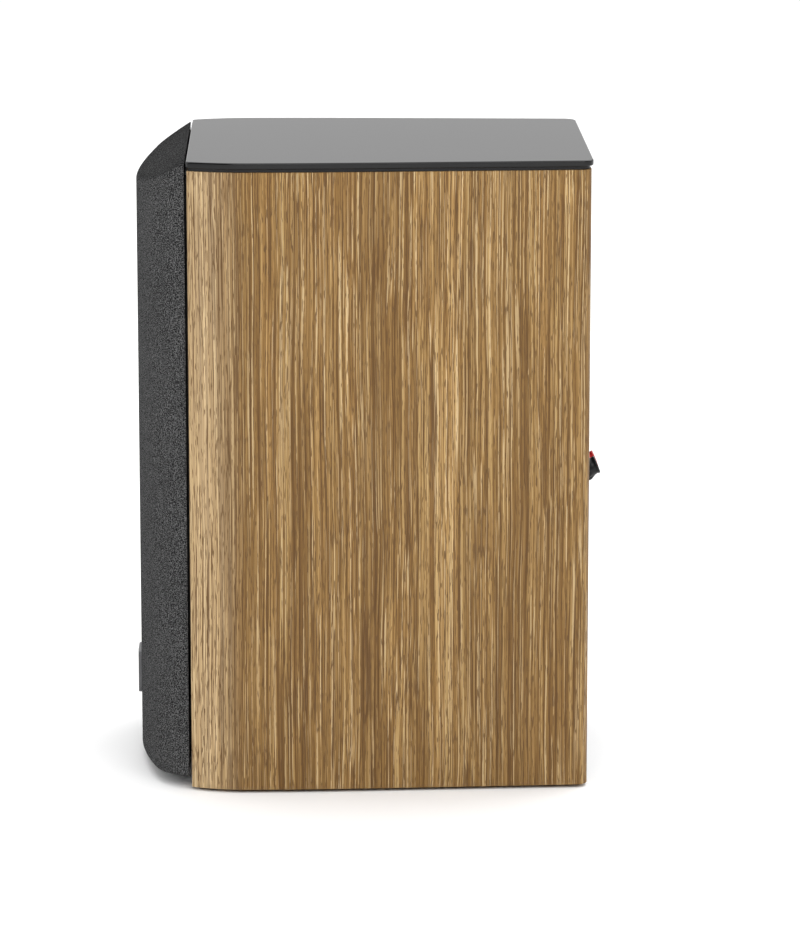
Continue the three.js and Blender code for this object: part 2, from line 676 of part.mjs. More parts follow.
function addBassPort() {
  const seat = REAR_FACE + GLUE_GAP;
  const outer = [
    [PORT_TUBE_RADIUS, PORT_FRONT], [PORT_TUBE_RADIUS, REAR_FACE - 14], [PORT_COLLAR_RADIUS, REAR_FACE - 7],
    [PORT_COLLAR_RADIUS, seat], [PORT_FLANGE_RADIUS, seat], [PORT_FLANGE_RADIUS, FITTING_FACE],
  ];
  const flare = [];
  for (let i = 0; i <= 5; i += 1) {
    const angle = (i * QUARTER_TURN) / 5;
    const radius = PORT_BORE_RADIUS + PORT_FLARE_RADIUS * (1 - Math.sin(angle));
    flare.push([radius, FITTING_FACE - PORT_FLARE_RADIUS * (1 - Math.cos(angle))]);
  }
  const profile = [...outer, ...flare, [PORT_BORE_RADIUS, PORT_FRONT]];
  place('bass_port', turned(profile), 'blackPlastic', groupAt(0, 0, PORT_Z));
}

// The direction that the binding posts point in, seen from the side as [y, z].
const POST_AXIS = [Math.cos(POST_TILT), Math.sin(POST_TILT)];

// The point on the line between the posts, a distance in front of the knobs' end faces.
function onPostAxis(back) {
  return [KNOB_END.y - back * POST_AXIS[0], KNOB_END.z - back * POST_AXIS[1]];
}

const FLOOR_DISTANCE = KNOB_LENGTH + WASHER_THICKNESS + COLLAR_HEIGHT + 3 * LOOSE_GAP;

// The cup's cavity in side view. Its floor is square to the posts and its roof runs along them.
function cupCavity(wall, mouth) {
  const [floorY, floorZ] = onPostAxis(FLOOR_DISTANCE + wall);
  const along = (distance) => [floorY - distance * POST_AXIS[1], floorZ + distance * POST_AXIS[0]];
  const [topY, topZ] = along(CUP_FLOOR_ABOVE_POSTS + wall);
  const roof = topZ + ((mouth - topY) * POST_AXIS[1]) / POST_AXIS[0];
  const front = REAR_FACE - wall;
  const bottom = floorZ - (front - floorY) * (POST_AXIS[0] / POST_AXIS[1]);
  const low = bottom - wall / 2;
  return polygon([[front, bottom], [topY, topZ], [mouth, roof], [mouth, low], [front, low]]);
}

function addTerminalCup() {
  const rear = REAR_FACE + GLUE_GAP;
  const { halfWidth, bottom, top } = CUP_FLANGE;
  const outline = roundedRectangle(-halfWidth, bottom, halfWidth, top, CUP_FLANGE_CORNER);
  const flange = facing(outline, rear, FITTING_FACE);
  const body = across(cupCavity(CUP_WALL, rear + 0.5), CUP_CAVITY_HALF_WIDTH + CUP_WALL);
  const cavity = across(cupCavity(0, FITTING_FACE + 1), CUP_CAVITY_HALF_WIDTH);
  const [floorY, floorZ] = onPostAxis(FLOOR_DISTANCE);
  const holes = [-1, 1].map((side) => {
    const hole = disc(STUD_RADIUS + LOOSE_GAP, -20, 20, SMALL_ROUND_STEPS);
    return hole.rotateX(POST_TILT).translate((side * POST_SPACING) / 2, floorY, floorZ);
  });
  holes.push(...cupScrewPlaces().map((spot) => screwHole(spot, REAR_FACE - 5, CABINET_DEPTH)));
  place('terminal_cup', cut(join(flange, body), cavity, ...holes), 'blackPlastic');
}

function cupScrewPlaces() {
  const { halfWidth, bottom, top } = CUP_FLANGE;
  const x = halfWidth - 4.5;
  return [[-x, bottom + 4.5], [x, bottom + 4.5], [-x, top - 4.5], [x, top - 4.5]];
}

function addCupScrews() {
  cupScrewPlaces().forEach(([x, z], index) => {
    const screw = screwGeometry(SCREW_LENGTH).rotateZ(Math.PI).translate(x, FITTING_FACE, z);
    place(`terminal_screw_${index + 1}`, screw, 'steel');
  });
}

// A waisted knob: a wide grip at its base, drawn in to a neck just below its end.
function knobGeometry() {
  const outside = [
    [KNOB_BASE_RADIUS, 0], [KNOB_BASE_RADIUS, 10.6], [7.4, 12], [6.3, 13.6], [5.6, 15],
    [KNOB_RADIUS - 0.3, 16.2], [KNOB_RADIUS, 17], [KNOB_RADIUS, 17.4], [KNOB_RADIUS - 0.6, KNOB_LENGTH],
  ];
  return turned([...outside, [KNOB_BORE_RADIUS, KNOB_LENGTH], [KNOB_BORE_RADIUS, 0]], 18);
}

function studGeometry() {
  const collarFront = -WASHER_THICKNESS - COLLAR_HEIGHT - LOOSE_GAP;
  const collarBack = -WASHER_THICKNESS - 2 * LOOSE_GAP;
  const tail = collarFront - LOOSE_GAP - STUD_TAIL;
  const end = KNOB_LENGTH - 3;
  const profile = [
    [0, tail], [STUD_RADIUS, tail], [STUD_RADIUS, collarFront], [COLLAR_RADIUS, collarFront],
    [COLLAR_RADIUS, collarBack], [STUD_RADIUS, collarBack], [STUD_RADIUS, end], [0, end],
  ];
  return turned(profile, SMALL_ROUND_STEPS);
}

function washerGeometry() {
  const front = -WASHER_THICKNESS - LOOSE_GAP;
  return ring(KNOB_BORE_RADIUS, WASHER_RADIUS, front, -LOOSE_GAP, SMALL_ROUND_STEPS);
}

function addBindingPosts() {
  const [y, z] = onPostAxis(KNOB_LENGTH);
  for (const [colour, side] of [['red', -1], ['black', 1]]) {
    const post = groupAt((side * POST_SPACING) / 2, y, z);
    post.rotation.x = POST_TILT;
    place(`terminal_stud_${colour}`, studGeometry(), 'brass', post);
    place(`washer_${colour}`, washerGeometry(), 'brass', post);
    const plastic = colour === 'red' ? 'redPlastic' : 'blackPlastic';
    place(`knob_${colour}`, knobGeometry(), plastic, post);
  }
}

// ---------------------------------------------------------------------------------------------------------
// Inside the cabinet
// ---------------------------------------------------------------------------------------------------------

const BOARD = { halfWidth: 52, bottom: 32, top: 132, front: INSIDE_BACK - 8, thickness: 1.6 };

function addCrossover() {
  const { halfWidth, bottom, top, front, thickness } = BOARD;
  const back = front + thickness;
  const sheet = block([-halfWidth, halfWidth], [front, back], [bottom, top]);
  const standoffs = [];
  for (const x of [-halfWidth + 6, halfWidth - 6]) {
    for (const z of [bottom + 6, top - 6]) {
      standoffs.push(disc(3.5, back - 1, INSIDE_BACK - GLUE_GAP, TINY_ROUND_STEPS).translate(x, 0, z));
    }
  }
  place('crossover_board', join(sheet, ...standoffs), 'board');

  const face = front - GLUE_GAP;
  const bassCoil = ring(9, 22, face - 18, face, 20).translate(-24, 0, 62);
  place('bass_inductor', bassCoil, 'copper');
  const trebleCoil = ring(6, 14, face - 12, face, 16).translate(24, 0, 112);
  place('treble_inductor', trebleCoil, 'copper');
  addCapacitor('capacitor_large', 11, 42, [24, face - 11, 76]);
  addCapacitor('capacitor_small', 7, 28, [-24, face - 7, 112]);
}

function addCapacitor(name, radius, length, [x, y, z]) {
  const can = disc(radius, -length / 2, length / 2, SMALL_ROUND_STEPS);
  place(name, can.rotateZ(QUARTER_TURN).translate(x, y, z), 'capacitor');
}

function addDampingPad() {
  const top = CABINET_HEIGHT - WALL - 1;
  const plan = roundedRectangle(-78, 60, 78, 200, 12);
  place('damping_pad', standing(plan, top - 24, top), 'wadding');
}

// Each lead stops just short of what it is soldered to.
function addLeads() {
  const boardFace = BOARD.front - LOOSE_GAP;
  const [studY, studZ] = onPostAxis(FLOOR_DISTANCE + 14);
  const input = [
    [0, studY - 1, studZ - 4], [0, studY - 6, studZ - 10], [0, boardFace - 12, 150],
    [0, boardFace - 8, 138], [0, boardFace - 1.8, 126],
  ];
  place('input_lead', lead(input, 1.5, 12), 'rubber');
  const bass = [
    [-44, boardFace - 1.8, 92], [-58, boardFace - 22, 100], [-76, 160, 112], [-78, 110, 120],
    [-66, 66, 122], [-55, 50, WOOFER_Z],
  ];
  place('woofer_lead', lead(bass, 1.5, 20), 'rubber');
  const treble = [
    [44, boardFace - 1.8, 96], [56, boardFace - 24, 130], [54, 176, 200], [52, 150, 234],
    [48, 110, 258], [30, 70, 276], [12, 46, TWEETER_Z],
  ];
  place('tweeter_lead', lead(treble, 1.5, 24), 'rubber');
}

// ---------------------------------------------------------------------------------------------------------
// Grille
// ---------------------------------------------------------------------------------------------------------

const BOW_END = Math.asin(GRILLE_BOW_HALF_WIDTH / GRILLE_BOW_RADIUS);
const BOW_CENTRE_Y = GRILLE_FRONT + GRILLE_BOW_RADIUS;
const CORNER = grilleCorner();

// The arc that carries the bow on from its end, without a kink, to the grille's back edge.
function grilleCorner() {
  const startY = BOW_CENTRE_Y - GRILLE_BOW_RADIUS * Math.cos(BOW_END);
  const outward = GRILLE_HALF_WIDTH - GRILLE_BOW_HALF_WIDTH;
  const back = GRILLE_BACK - startY;
  const reach = 2 * (back * Math.cos(BOW_END) - outward * Math.sin(BOW_END));
  const radius = (outward * outward + back * back) / reach;
  const x = GRILLE_BOW_HALF_WIDTH - radius * Math.sin(BOW_END);
  return { radius, x, y: startY + radius * Math.cos(BOW_END) };
}

// The grille's plan, a distance inside its outer face, with its back edge at y = back.
function grillePlan(inset, back = GRILLE_BACK) {
  const radius = CORNER.radius - inset;
  const end = Math.asin((GRILLE_BACK - CORNER.y) / radius);
  const joint = QUARTER_TURN - BOW_END;
  const plan = new THREE.Shape();
  plan.moveTo(-(CORNER.x + radius * Math.cos(end)), back);
  plan.absarc(-CORNER.x, CORNER.y, radius, Math.PI - end, Math.PI + joint);
  plan.absarc(0, BOW_CENTRE_Y, GRILLE_BOW_RADIUS - inset, Math.PI + joint, 2 * Math.PI - joint);
  plan.absarc(CORNER.x, CORNER.y, radius, -joint, end);
  plan.lineTo(CORNER.x + radius * Math.cos(end), back);
  return plan;
}

function grilleTopAt(y) {
  return GRILLE_TOP_AT_BACK - GRILLE_TOP_SLOPE * (GRILLE_BACK - y);
}

// The grille's outer solid, a distance inside its surface, reaching back to y = back.
function grilleBody(inset, back = GRILLE_BACK) {
  const column = standing(grillePlan(inset, back), GRILLE_BOTTOM + inset, CABINET_HEIGHT + 40);
  const drop = inset * Math.hypot(1, GRILLE_TOP_SLOPE);
  const [front, rear] = [-60, 20];
  const keep = polygon([
    [front, 0], [rear, 0], [rear, grilleTopAt(rear) - drop], [front, grilleTopAt(front) - drop],
  ]);
  return common(column, across(keep, GRILLE_HALF_WIDTH + 10));
}

// Two openings with a bar between them, and a tab that backs the badge in the lower one.
function grilleWindows() {
  const sides = 66;
  const bar = { bottom: 204, top: 216 };
  const upper = facing(roundedRectangle(-sides, bar.top, sides, 352, 12), -60, -4);
  const lower = facing(roundedRectangle(-sides, 24, sides, bar.bottom, 12), -60, -4);
  const tab = block([-BADGE.halfWidth - 3, BADGE.halfWidth + 3], [-70, 0], [0, BADGE.top + 3]);
  return [upper, cut(lower, tab)];
}

function grilleFrameGeometry() {
  const skin = CLOTH_THICKNESS + LOOSE_GAP;
  const hollow = grilleBody(skin + GRILLE_WALL, GRILLE_BACK + 5);
  const shell = cut(grilleBody(skin), hollow, ...grilleWindows());
  const outer = grilleBody(skin + 1);
  const pegs = PEG_PLACES.flatMap(([x, z]) => {
    const boss = disc(PEG_BOSS_RADIUS, -40, GRILLE_BACK, SMALL_ROUND_STEPS).translate(x, 0, z);
    const pin = disc(PEG_RADIUS, GRILLE_BACK - 1, PEG_LENGTH, SMALL_ROUND_STEPS).translate(x, 0, z);
    return [common(boss, outer), pin];
  });
  return join(shell, ...pegs);
}

function badgeGeometry() {
  const { halfWidth, bottom, top, thickness, corner } = BADGE;
  const plate = facing(roundedRectangle(-halfWidth, bottom, halfWidth, top, corner), -60, 0);
  const inner = GRILLE_BOW_RADIUS + LOOSE_GAP;
  const spread = (2 * halfWidth) / GRILLE_BOW_RADIUS;
  const start = -QUARTER_TURN - spread;
  const end = -QUARTER_TURN + spread;
  const band = new THREE.Shape();
  band.absarc(0, BOW_CENTRE_Y, inner + thickness, start, end);
  band.absarc(0, BOW_CENTRE_Y, inner, end, start, true);
  return common(plate, standing(band, bottom - 1, top + 1));
}

function addGrille() {
  const inside = grilleBody(CLOTH_THICKNESS, GRILLE_BACK + 5);
  place('grille_cloth', cut(grilleBody(0), inside), 'cloth');
  place('grille_frame', grilleFrameGeometry(), 'blackPlastic');
  place('badge_plate', badgeGeometry(), 'badge');
}

// ---------------------------------------------------------------------------------------------------------
// The whole speaker
// ---------------------------------------------------------------------------------------------------------

addCabinetPanels();
addBaffle();
addRearPanel();
addTopPlates();
addFeet();
addFascia();
addGrilleSockets();
addWoofer();
addTweeter();
addBassPort();
addTerminalCup();
addCupScrews();
addBindingPosts();
addCrossover();
addDampingPad();
addLeads();
addGrille();

// The origin is on the shelf, under the middle of the speaker's whole depth.
const speaker = new THREE.Group();
speaker.add(cabinet);
cabinet.updateMatrixWorld(true);
const extent = new THREE.Box3().setFromObject(cabinet, true);
cabinet.position.set(0, -(extent.min.y + extent.max.y) / 2, FOOT_HEIGHT);

export default speaker;
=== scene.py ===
"""A bookshelf speaker's looks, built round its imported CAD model.

Lengths are metres in the model's own frame: +Z up, the front faces -Y. Profiles and outlines are worked out
in millimetres from the cabinet's front face and underside, as the model's drawings are, and then converted.
"""
import math

import bmesh
import bpy
from mathutils import Matrix, Vector
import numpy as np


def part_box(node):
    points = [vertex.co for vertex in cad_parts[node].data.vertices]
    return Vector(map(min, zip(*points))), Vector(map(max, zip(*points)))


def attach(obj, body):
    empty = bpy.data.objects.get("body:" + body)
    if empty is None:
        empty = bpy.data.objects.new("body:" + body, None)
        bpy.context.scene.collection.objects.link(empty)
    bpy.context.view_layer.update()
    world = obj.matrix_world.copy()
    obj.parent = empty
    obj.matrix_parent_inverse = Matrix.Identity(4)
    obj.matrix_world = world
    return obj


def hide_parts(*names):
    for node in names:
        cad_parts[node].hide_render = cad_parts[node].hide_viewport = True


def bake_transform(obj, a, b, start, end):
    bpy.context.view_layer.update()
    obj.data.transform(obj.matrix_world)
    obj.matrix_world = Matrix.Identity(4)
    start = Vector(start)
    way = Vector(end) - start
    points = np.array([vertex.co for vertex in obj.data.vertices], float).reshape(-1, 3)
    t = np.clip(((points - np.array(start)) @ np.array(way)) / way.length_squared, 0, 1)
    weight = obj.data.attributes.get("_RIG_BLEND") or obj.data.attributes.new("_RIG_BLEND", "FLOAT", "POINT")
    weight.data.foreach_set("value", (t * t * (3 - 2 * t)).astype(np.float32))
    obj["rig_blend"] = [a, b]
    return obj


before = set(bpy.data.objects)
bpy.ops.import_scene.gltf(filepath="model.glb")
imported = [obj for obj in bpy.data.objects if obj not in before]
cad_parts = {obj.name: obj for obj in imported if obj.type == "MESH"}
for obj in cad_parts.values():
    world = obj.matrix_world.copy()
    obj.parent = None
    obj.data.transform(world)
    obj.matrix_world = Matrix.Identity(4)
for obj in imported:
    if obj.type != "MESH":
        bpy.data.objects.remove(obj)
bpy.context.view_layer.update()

MM = 0.001

# The cabinet's front face and underside in the frame, which every millimetre below is counted from.
SIDE_LOW, SIDE_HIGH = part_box("side_panel_right")
FRONT_Y = SIDE_LOW.y
UNDERSIDE_Z = SIDE_LOW.z


# ---- Dimensions, in millimetres ----

CABINET_HEIGHT = (SIDE_HIGH.z - SIDE_LOW.z) / MM
CABINET_DEPTH = (SIDE_HIGH.y - SIDE_LOW.y) / MM
CABINET_HALF_WIDTH = 109
FRONT_CURVE_DEPTH = 37
FRONT_INSET = 8.3
REAR_BEND_DEPTH = 80
REAR_BEND_RADIUS = 1580
REAR_CORNER_RADIUS = 7
FRONT_EDGE_RADIUS = 1.8
WALL = 15

GLASS_BOTTOM = CABINET_HEIGHT + 2
GLASS_THICKNESS = 4
GLASS_ROUND_OVER = 1.0
GLASS_OVERHANG = 1.2
GLASS_FRONT_OVERHANG = 0.5

FASCIA_THICKNESS = 1.5
FASCIA_HALF_WIDTH = 88.5
FASCIA_TOP = 388
SOCKET_RADIUS = 11

WOOFER_Z = 119.5
TRIM_RADIUS = 84
CONE_EDGE_RADIUS = 60
COIL_RADIUS = 15
TWEETER_Z = 285
FACEPLATE_RADIUS = 58
FACEPLATE_FRONT = -2.7
FACEPLATE_SCREW_CIRCLE = 51
DOME_RADIUS = 12.7

PORT_Z = 296
PORT_BORE_RADIUS = 25
PORT_FLARE_RADIUS = 9
FITTING_FACE = CABINET_DEPTH - 0.5

POST_TILT = math.radians(22)
POST_SPACING = 19
KNOB_END = (260.6, 188.4)  # the (y, z) of the middle of both knobs' ends
KNOB_LENGTH = 18

GRILLE_BACK = -1.8
GRILLE_FRONT = -34.2
GRILLE_HALF_WIDTH = 98.7
GRILLE_BOW_RADIUS = 280
GRILLE_BOW_HALF_WIDTH = 76
GRILLE_BOTTOM = 5.8
GRILLE_TOP_AT_BACK = 397.2
GRILLE_TOP_SLOPE = 0.6
CLOTH_THICKNESS = 0.6
CLOTH_EDGE_RADIUS = 2.4
FRAME_SKIN = 0.8
FRAME_WALL = 3.2
PEG_PLACES = [(-75, 28), (75, 28), (-75, 362), (75, 362)]
BADGE_HALF_SIDE = 14
BADGE_Z = 53.3
BADGE_THICKNESS = 2.0
BADGE_CORNER = 4.0


def to_frame(x, y, z):
    """A point in the drawings' millimetres, in the frame's metres."""
    return Vector((x * MM, FRONT_Y + y * MM, UNDERSIDE_Z + z * MM))


# ---- Materials ----


class Paint:
    """One procedural material. Its patterns are placed by the piece's own coordinates, in metres."""

    def __init__(self, name, **constants):
        self.material = bpy.data.materials.new(name)
        self.material.use_nodes = True
        self.tree = self.material.node_tree
        self.shader = self.tree.nodes["Principled BSDF"]
        self.place = self.node("ShaderNodeTexCoord").outputs["Object"]
        for socket, value in constants.items():
            self.shader.inputs[socket.replace("_", " ")].default_value = value

    def node(self, kind, inputs=None, **settings):
        made = self.tree.nodes.new(kind)
        for key, value in settings.items():
            setattr(made, key, value)
        for key, value in (inputs or {}).items():
            if isinstance(value, bpy.types.NodeSocket):
                self.tree.links.new(value, made.inputs[key])
            else:
                made.inputs[key].default_value = value
        return made

    def stretched(self, scale, place=None):
        """Coordinates multiplied along each axis, so that a pattern stretches."""
        inputs = {"Vector": place or self.place, "Scale": scale}
        return self.node("ShaderNodeMapping", inputs).outputs["Vector"]

    def noise(self, scale, detail=3.0, roughness=0.5, place=None):
        """Noise with a cell size of 1/scale metres; scale is a number or one for each axis."""
        spread = scale if hasattr(scale, "__len__") else (scale, scale, scale)
        inputs = {
            "Vector": self.stretched(spread, place),
            "Scale": 1.0,
            "Detail": detail,
            "Roughness": roughness,
        }
        return self.node("ShaderNodeTexNoise", inputs).outputs["Fac"]

    def ramp(self, value, stops):
        """A colour or grey for each value: stops are (position, colour)."""
        made = self.node("ShaderNodeValToRGB", {"Fac": value})
        elements = made.color_ramp.elements
        while len(elements) < len(stops):
            elements.new(0.5)
        for element, (position, colour) in zip(elements, stops):
            element.position = position
            element.color = (*colour, 1.0) if hasattr(colour, "__len__") else (colour, colour, colour, 1.0)
        return made.outputs["Color"]

    def mix(self, factor, a, b, blend_type="MIX"):
        made = self.node("ShaderNodeMix", data_type="RGBA", blend_type=blend_type)
        for index, value in ((0, factor), (6, a), (7, b)):
            if isinstance(value, bpy.types.NodeSocket):
                self.tree.links.new(value, made.inputs[index])
            else:
                made.inputs[index].default_value = value if index == 0 else (*value, 1.0)
        return made.outputs[2]

    def math(self, operation, a, b=0.0):
        return self.node("ShaderNodeMath", {0: a, 1: b}, operation=operation).outputs[0]

    def vector(self, operation, a, b):
        return self.node("ShaderNodeVectorMath", {0: a, 1: b}, operation=operation).outputs[0]

    def tinted(self, tone, by):
        """One colour multiplied by another."""
        return self.mix(1.0, tone, by, "MULTIPLY")

    def parts(self, vector):
        return self.node("ShaderNodeSeparateXYZ", {"Vector": vector}).outputs

    def waves(self, vector, axes, pitch):
        """A sine wave along each of the named axes, with one whole wave in every pitch metres."""
        parts = self.parts(vector)
        phases = [self.math("MULTIPLY", parts[axis], 2 * math.pi / pitch) for axis in axes]
        return [self.math("SINE", phase) for phase in phases]

    def colour(self, value):
        self.tree.links.new(value, self.shader.inputs["Base Color"])

    def roughness(self, value, low, high):
        """Roughness that runs from low to high with a pattern."""
        inputs = {"Value": value, "To Min": low, "To Max": high}
        made = self.node("ShaderNodeMapRange", inputs)
        self.tree.links.new(made.outputs["Result"], self.shader.inputs["Roughness"])

    def bump(self, height, distance, strength=1.0):
        """Relief whose full height is distance metres; calls add up."""
        inputs = {"Height": height, "Distance": distance, "Strength": strength}
        made = self.node("ShaderNodeBump", inputs)
        slot = self.shader.inputs["Normal"]
        if slot.is_linked:
            self.tree.links.new(slot.links[0].from_socket, made.inputs["Normal"])
        self.tree.links.new(made.outputs["Normal"], slot)


def veneer():
    """Oak cut along the grain: broad soft bands, pale streaks, fine dark grooves and short pores, with a
    painted highlight toward the front edge.
    """
    paint = Paint("oak_veneer", Specular_IOR_Level=0.28)
    sway = paint.node(
        "ShaderNodeTexNoise",
        {"Vector": paint.stretched((22, 22, 7)), "Scale": 1.0, "Detail": 2.0},
    ).outputs["Color"]
    sway = paint.vector("SUBTRACT", sway, (0.5, 0.5, 0.5))
    sway = paint.vector("MULTIPLY", sway, (0.0045, 0.0045, 0.0))
    place = paint.vector("ADD", paint.place, sway)

    bands = paint.noise((60, 60, 1.4), 3.0, 0.5, place)
    streaks = paint.noise((560, 560, 2.4), 4.0, 0.66, place)
    rays = paint.noise((1000, 1000, 5.0), 2.0, 0.5, paint.vector("ADD", place, (0.31, 0.17, 0.23)))
    grooves = paint.noise((1500, 1500, 7.0), 2.0, 0.6, place)
    pores = paint.noise((1700, 1700, 110.0), 1.0, 0.5, paint.vector("ADD", place, (0.53, 0.11, 0.07)))

    tone = paint.ramp(
        streaks,
        [
            (0.34, (0.122, 0.056, 0.013)),
            (0.46, (0.220, 0.117, 0.031)),
            (0.55, (0.308, 0.178, 0.058)),
            (0.66, (0.440, 0.288, 0.115)),
        ],
    )
    band_tone = paint.ramp(
        bands, [(0.34, (0.74, 0.70, 0.62)), (0.50, (0.98, 0.98, 0.97)), (0.66, (1.17, 1.18, 1.22))]
    )
    ray_share = paint.ramp(rays, [(0.56, 0.0), (0.63, 0.85)])
    groove_share = paint.ramp(grooves, [(0.38, 0.90), (0.45, 0.0)])
    pore_share = paint.ramp(pores, [(0.59, 0.0), (0.64, 0.85)])
    tone = paint.mix(ray_share, tone, (0.560, 0.405, 0.215))
    tone = paint.tinted(tone, band_tone)
    depth = paint.parts(paint.place)["Y"]
    # Painted highlight: the wood is lightened within about 34 mm of the front face, where the curved front
    # turns toward the key light, in place of that lamp's light.
    front_painted_highlight = paint.node(
        "ShaderNodeMapRange",
        {
            "Value": depth,
            "From Min": FRONT_Y + 0.012,
            "From Max": FRONT_Y + 0.034,
            "To Min": 0.42,
            "To Max": 0.0,
        },
    ).outputs["Result"]
    tone = paint.mix(front_painted_highlight, tone, (0.600, 0.460, 0.280))
    tone = paint.mix(groove_share, tone, (0.105, 0.048, 0.012))
    tone = paint.mix(pore_share, tone, (0.120, 0.060, 0.018))
    paint.colour(tone)
    paint.roughness(streaks, 0.60, 0.44)
    paint.bump(groove_share, -0.00012)
    paint.bump(pore_share, -0.00008)
    return paint.material


def moulded(name, colour, lighter, rough=(0.42, 0.60), grain=2600, relief=0.00004, **constants):
    """Fine-textured moulded plastic: a spark-eroded grain and faint variation of tone."""
    paint = Paint(name, **constants)
    grain_value = paint.noise(grain, 2.0, 0.6)
    cloud = paint.noise(38, 4.0, 0.6)
    paint.colour(paint.ramp(cloud, [(0.35, colour), (0.65, lighter)]))
    paint.roughness(cloud, *rough)
    paint.bump(grain_value, relief)
    return paint.material


def black_glass():
    """Polished glass with black paint below it: deep black, faint polish haze on its surface."""
    paint = Paint("black_glass", IOR=1.36)
    haze = paint.noise((45, 45, 45), 4.0, 0.6)
    dust = paint.noise(900, 2.0, 0.5)
    paint.colour(paint.ramp(haze, [(0.3, (0.0016, 0.0016, 0.0018)), (0.7, (0.0032, 0.0033, 0.0036))]))
    paint.roughness(haze, 0.030, 0.055)
    paint.bump(dust, 0.0000015)
    return paint.material


def acoustic_cloth():
    """Dark grey hopsack laid by the cloth's own measure, with slubs and lint, and painted shade darkening its
    sloping top.
    """
    paint = Paint("acoustic_cloth", Sheen_Weight=0.02, Sheen_Roughness=0.5, Specular_IOR_Level=0.0)
    along = paint.node("ShaderNodeUVMap", uv_map="cloth").outputs["UV"]
    weave = paint.math("MULTIPLY", *paint.waves(along, "XY", pitch=0.00095))
    slubs = paint.noise((1500, 1500, 1500), 2.0, 0.7)
    lint = paint.noise((700, 700, 1100), 4.0, 0.7)
    cloud = paint.noise(26, 3.0, 0.5)
    speckle = paint.ramp(
        slubs,
        [(0.39, (0.0035, 0.0035, 0.0036)), (0.50, (0.041, 0.041, 0.0414)), (0.61, (0.158, 0.158, 0.159))],
    )
    lint_tone = paint.ramp(lint, [(0.35, 0.80), (0.65, 1.22)])
    cloud_tone = paint.ramp(cloud, [(0.3, 0.93), (0.7, 1.07)])
    tone = paint.tinted(paint.tinted(speckle, lint_tone), cloud_tone)
    # Painted shade: the colour is darkened where the surface faces upward, over the grille's sloping top.
    upward = paint.parts(paint.node("ShaderNodeNewGeometry").outputs["Normal"])["Z"]
    painted_top_shade = paint.ramp(upward, [(0.20, 1.0), (0.65, 0.56)])
    paint.colour(paint.tinted(tone, painted_top_shade))
    paint.roughness(slubs, 0.95, 0.78)
    paint.bump(weave, 0.00016)
    paint.bump(slubs, 0.00012)
    return paint.material


def brushed(name, dark, light, rough=(0.28, 0.42), along=(60, 60, 3800), **constants):
    """Metal brushed along its length, with finer and coarser strokes."""
    paint = Paint(name, Metallic=1.0, **constants)
    strokes = paint.noise(along, 4.0, 0.7)
    cloud = paint.noise(90, 3.0, 0.5)
    stops = [(0.3, dark), (0.7, light)]
    paint.colour(paint.mix(0.5, paint.ramp(strokes, stops), paint.ramp(cloud, stops)))
    paint.roughness(strokes, *rough)
    paint.bump(strokes, 0.000012)
    return paint.material


def rubber():
    """Matt black rubber with a bloom of dust."""
    paint = Paint("black_rubber", Specular_IOR_Level=0.3)
    skin = paint.noise(1700, 3.0, 0.6)
    dust = paint.noise(60, 5.0, 0.7)
    paint.colour(paint.ramp(dust, [(0.3, (0.012, 0.012, 0.013)), (0.75, (0.030, 0.030, 0.031))]))
    paint.roughness(dust, 0.55, 0.78)
    paint.bump(skin, 0.00003)
    return paint.material


def woven_cone():
    """A cone of woven fibre under a clear satin skin: a slanted basket weave across the cone."""
    paint = Paint("woven_fibre_cone", Coat_Weight=0.25, Coat_Roughness=0.35)
    turned_place = paint.node(
        "ShaderNodeMapping", {"Vector": paint.place, "Rotation": (0.0, math.radians(45), 0.0)}
    ).outputs["Vector"]
    weave = paint.math("MULTIPLY", *paint.waves(turned_place, "XZ", pitch=0.0026))
    shade = paint.math("MULTIPLY_ADD", weave, 0.5)
    fibre = paint.noise(1400, 3.0, 0.6)
    tone = paint.ramp(shade, [(0.15, (0.012, 0.012, 0.014)), (0.85, (0.050, 0.051, 0.055))])
    fibre_tone = paint.ramp(fibre, [(0.3, 0.75), (0.7, 1.2)])
    paint.colour(paint.tinted(tone, fibre_tone))
    paint.roughness(fibre, 0.38, 0.52)
    paint.bump(weave, 0.00010)
    return paint.material


def clear_red():
    """Tinted plastic over metal: deep red with light scattered just below its surface."""
    paint = Paint("red_knob_plastic", Subsurface_Weight=0.25, Subsurface_Scale=0.002, Coat_Weight=0.6)
    swirl = paint.noise(160, 4.0, 0.6)
    scuffs = paint.noise((900, 900, 900), 3.0, 0.7)
    paint.colour(paint.ramp(swirl, [(0.3, (0.36, 0.010, 0.012)), (0.7, (0.56, 0.024, 0.026))]))
    paint.roughness(scuffs, 0.16, 0.32)
    paint.bump(scuffs, 0.00001)
    return paint.material


def wound_copper():
    """Enamelled wire laid in close turns, which show as fine ridges."""
    paint = Paint("copper_winding", Metallic=0.9)
    turns, = paint.waves(paint.place, "Y", pitch=0.0009)
    tarnish = paint.noise(220, 4.0, 0.6)
    paint.colour(paint.ramp(tarnish, [(0.3, (0.46, 0.19, 0.085)), (0.7, (0.68, 0.33, 0.17))]))
    paint.roughness(tarnish, 0.30, 0.45)
    paint.bump(turns, 0.0002)
    return paint.material


def fibrous(name, dark, light, scale=700, relief=0.0004):
    """Loose or dipped fibres: wadding, dipped cloth."""
    paint = Paint(name)
    fibres = paint.noise((scale, scale, scale * 0.4), 5.0, 0.7)
    cloud = paint.noise(40, 3.0, 0.5)
    tone = paint.mix(cloud, paint.ramp(fibres, [(0.3, dark), (0.7, light)]), light)
    paint.colour(tone)
    paint.roughness(fibres, 0.8, 0.98)
    paint.bump(fibres, relief)
    return paint.material


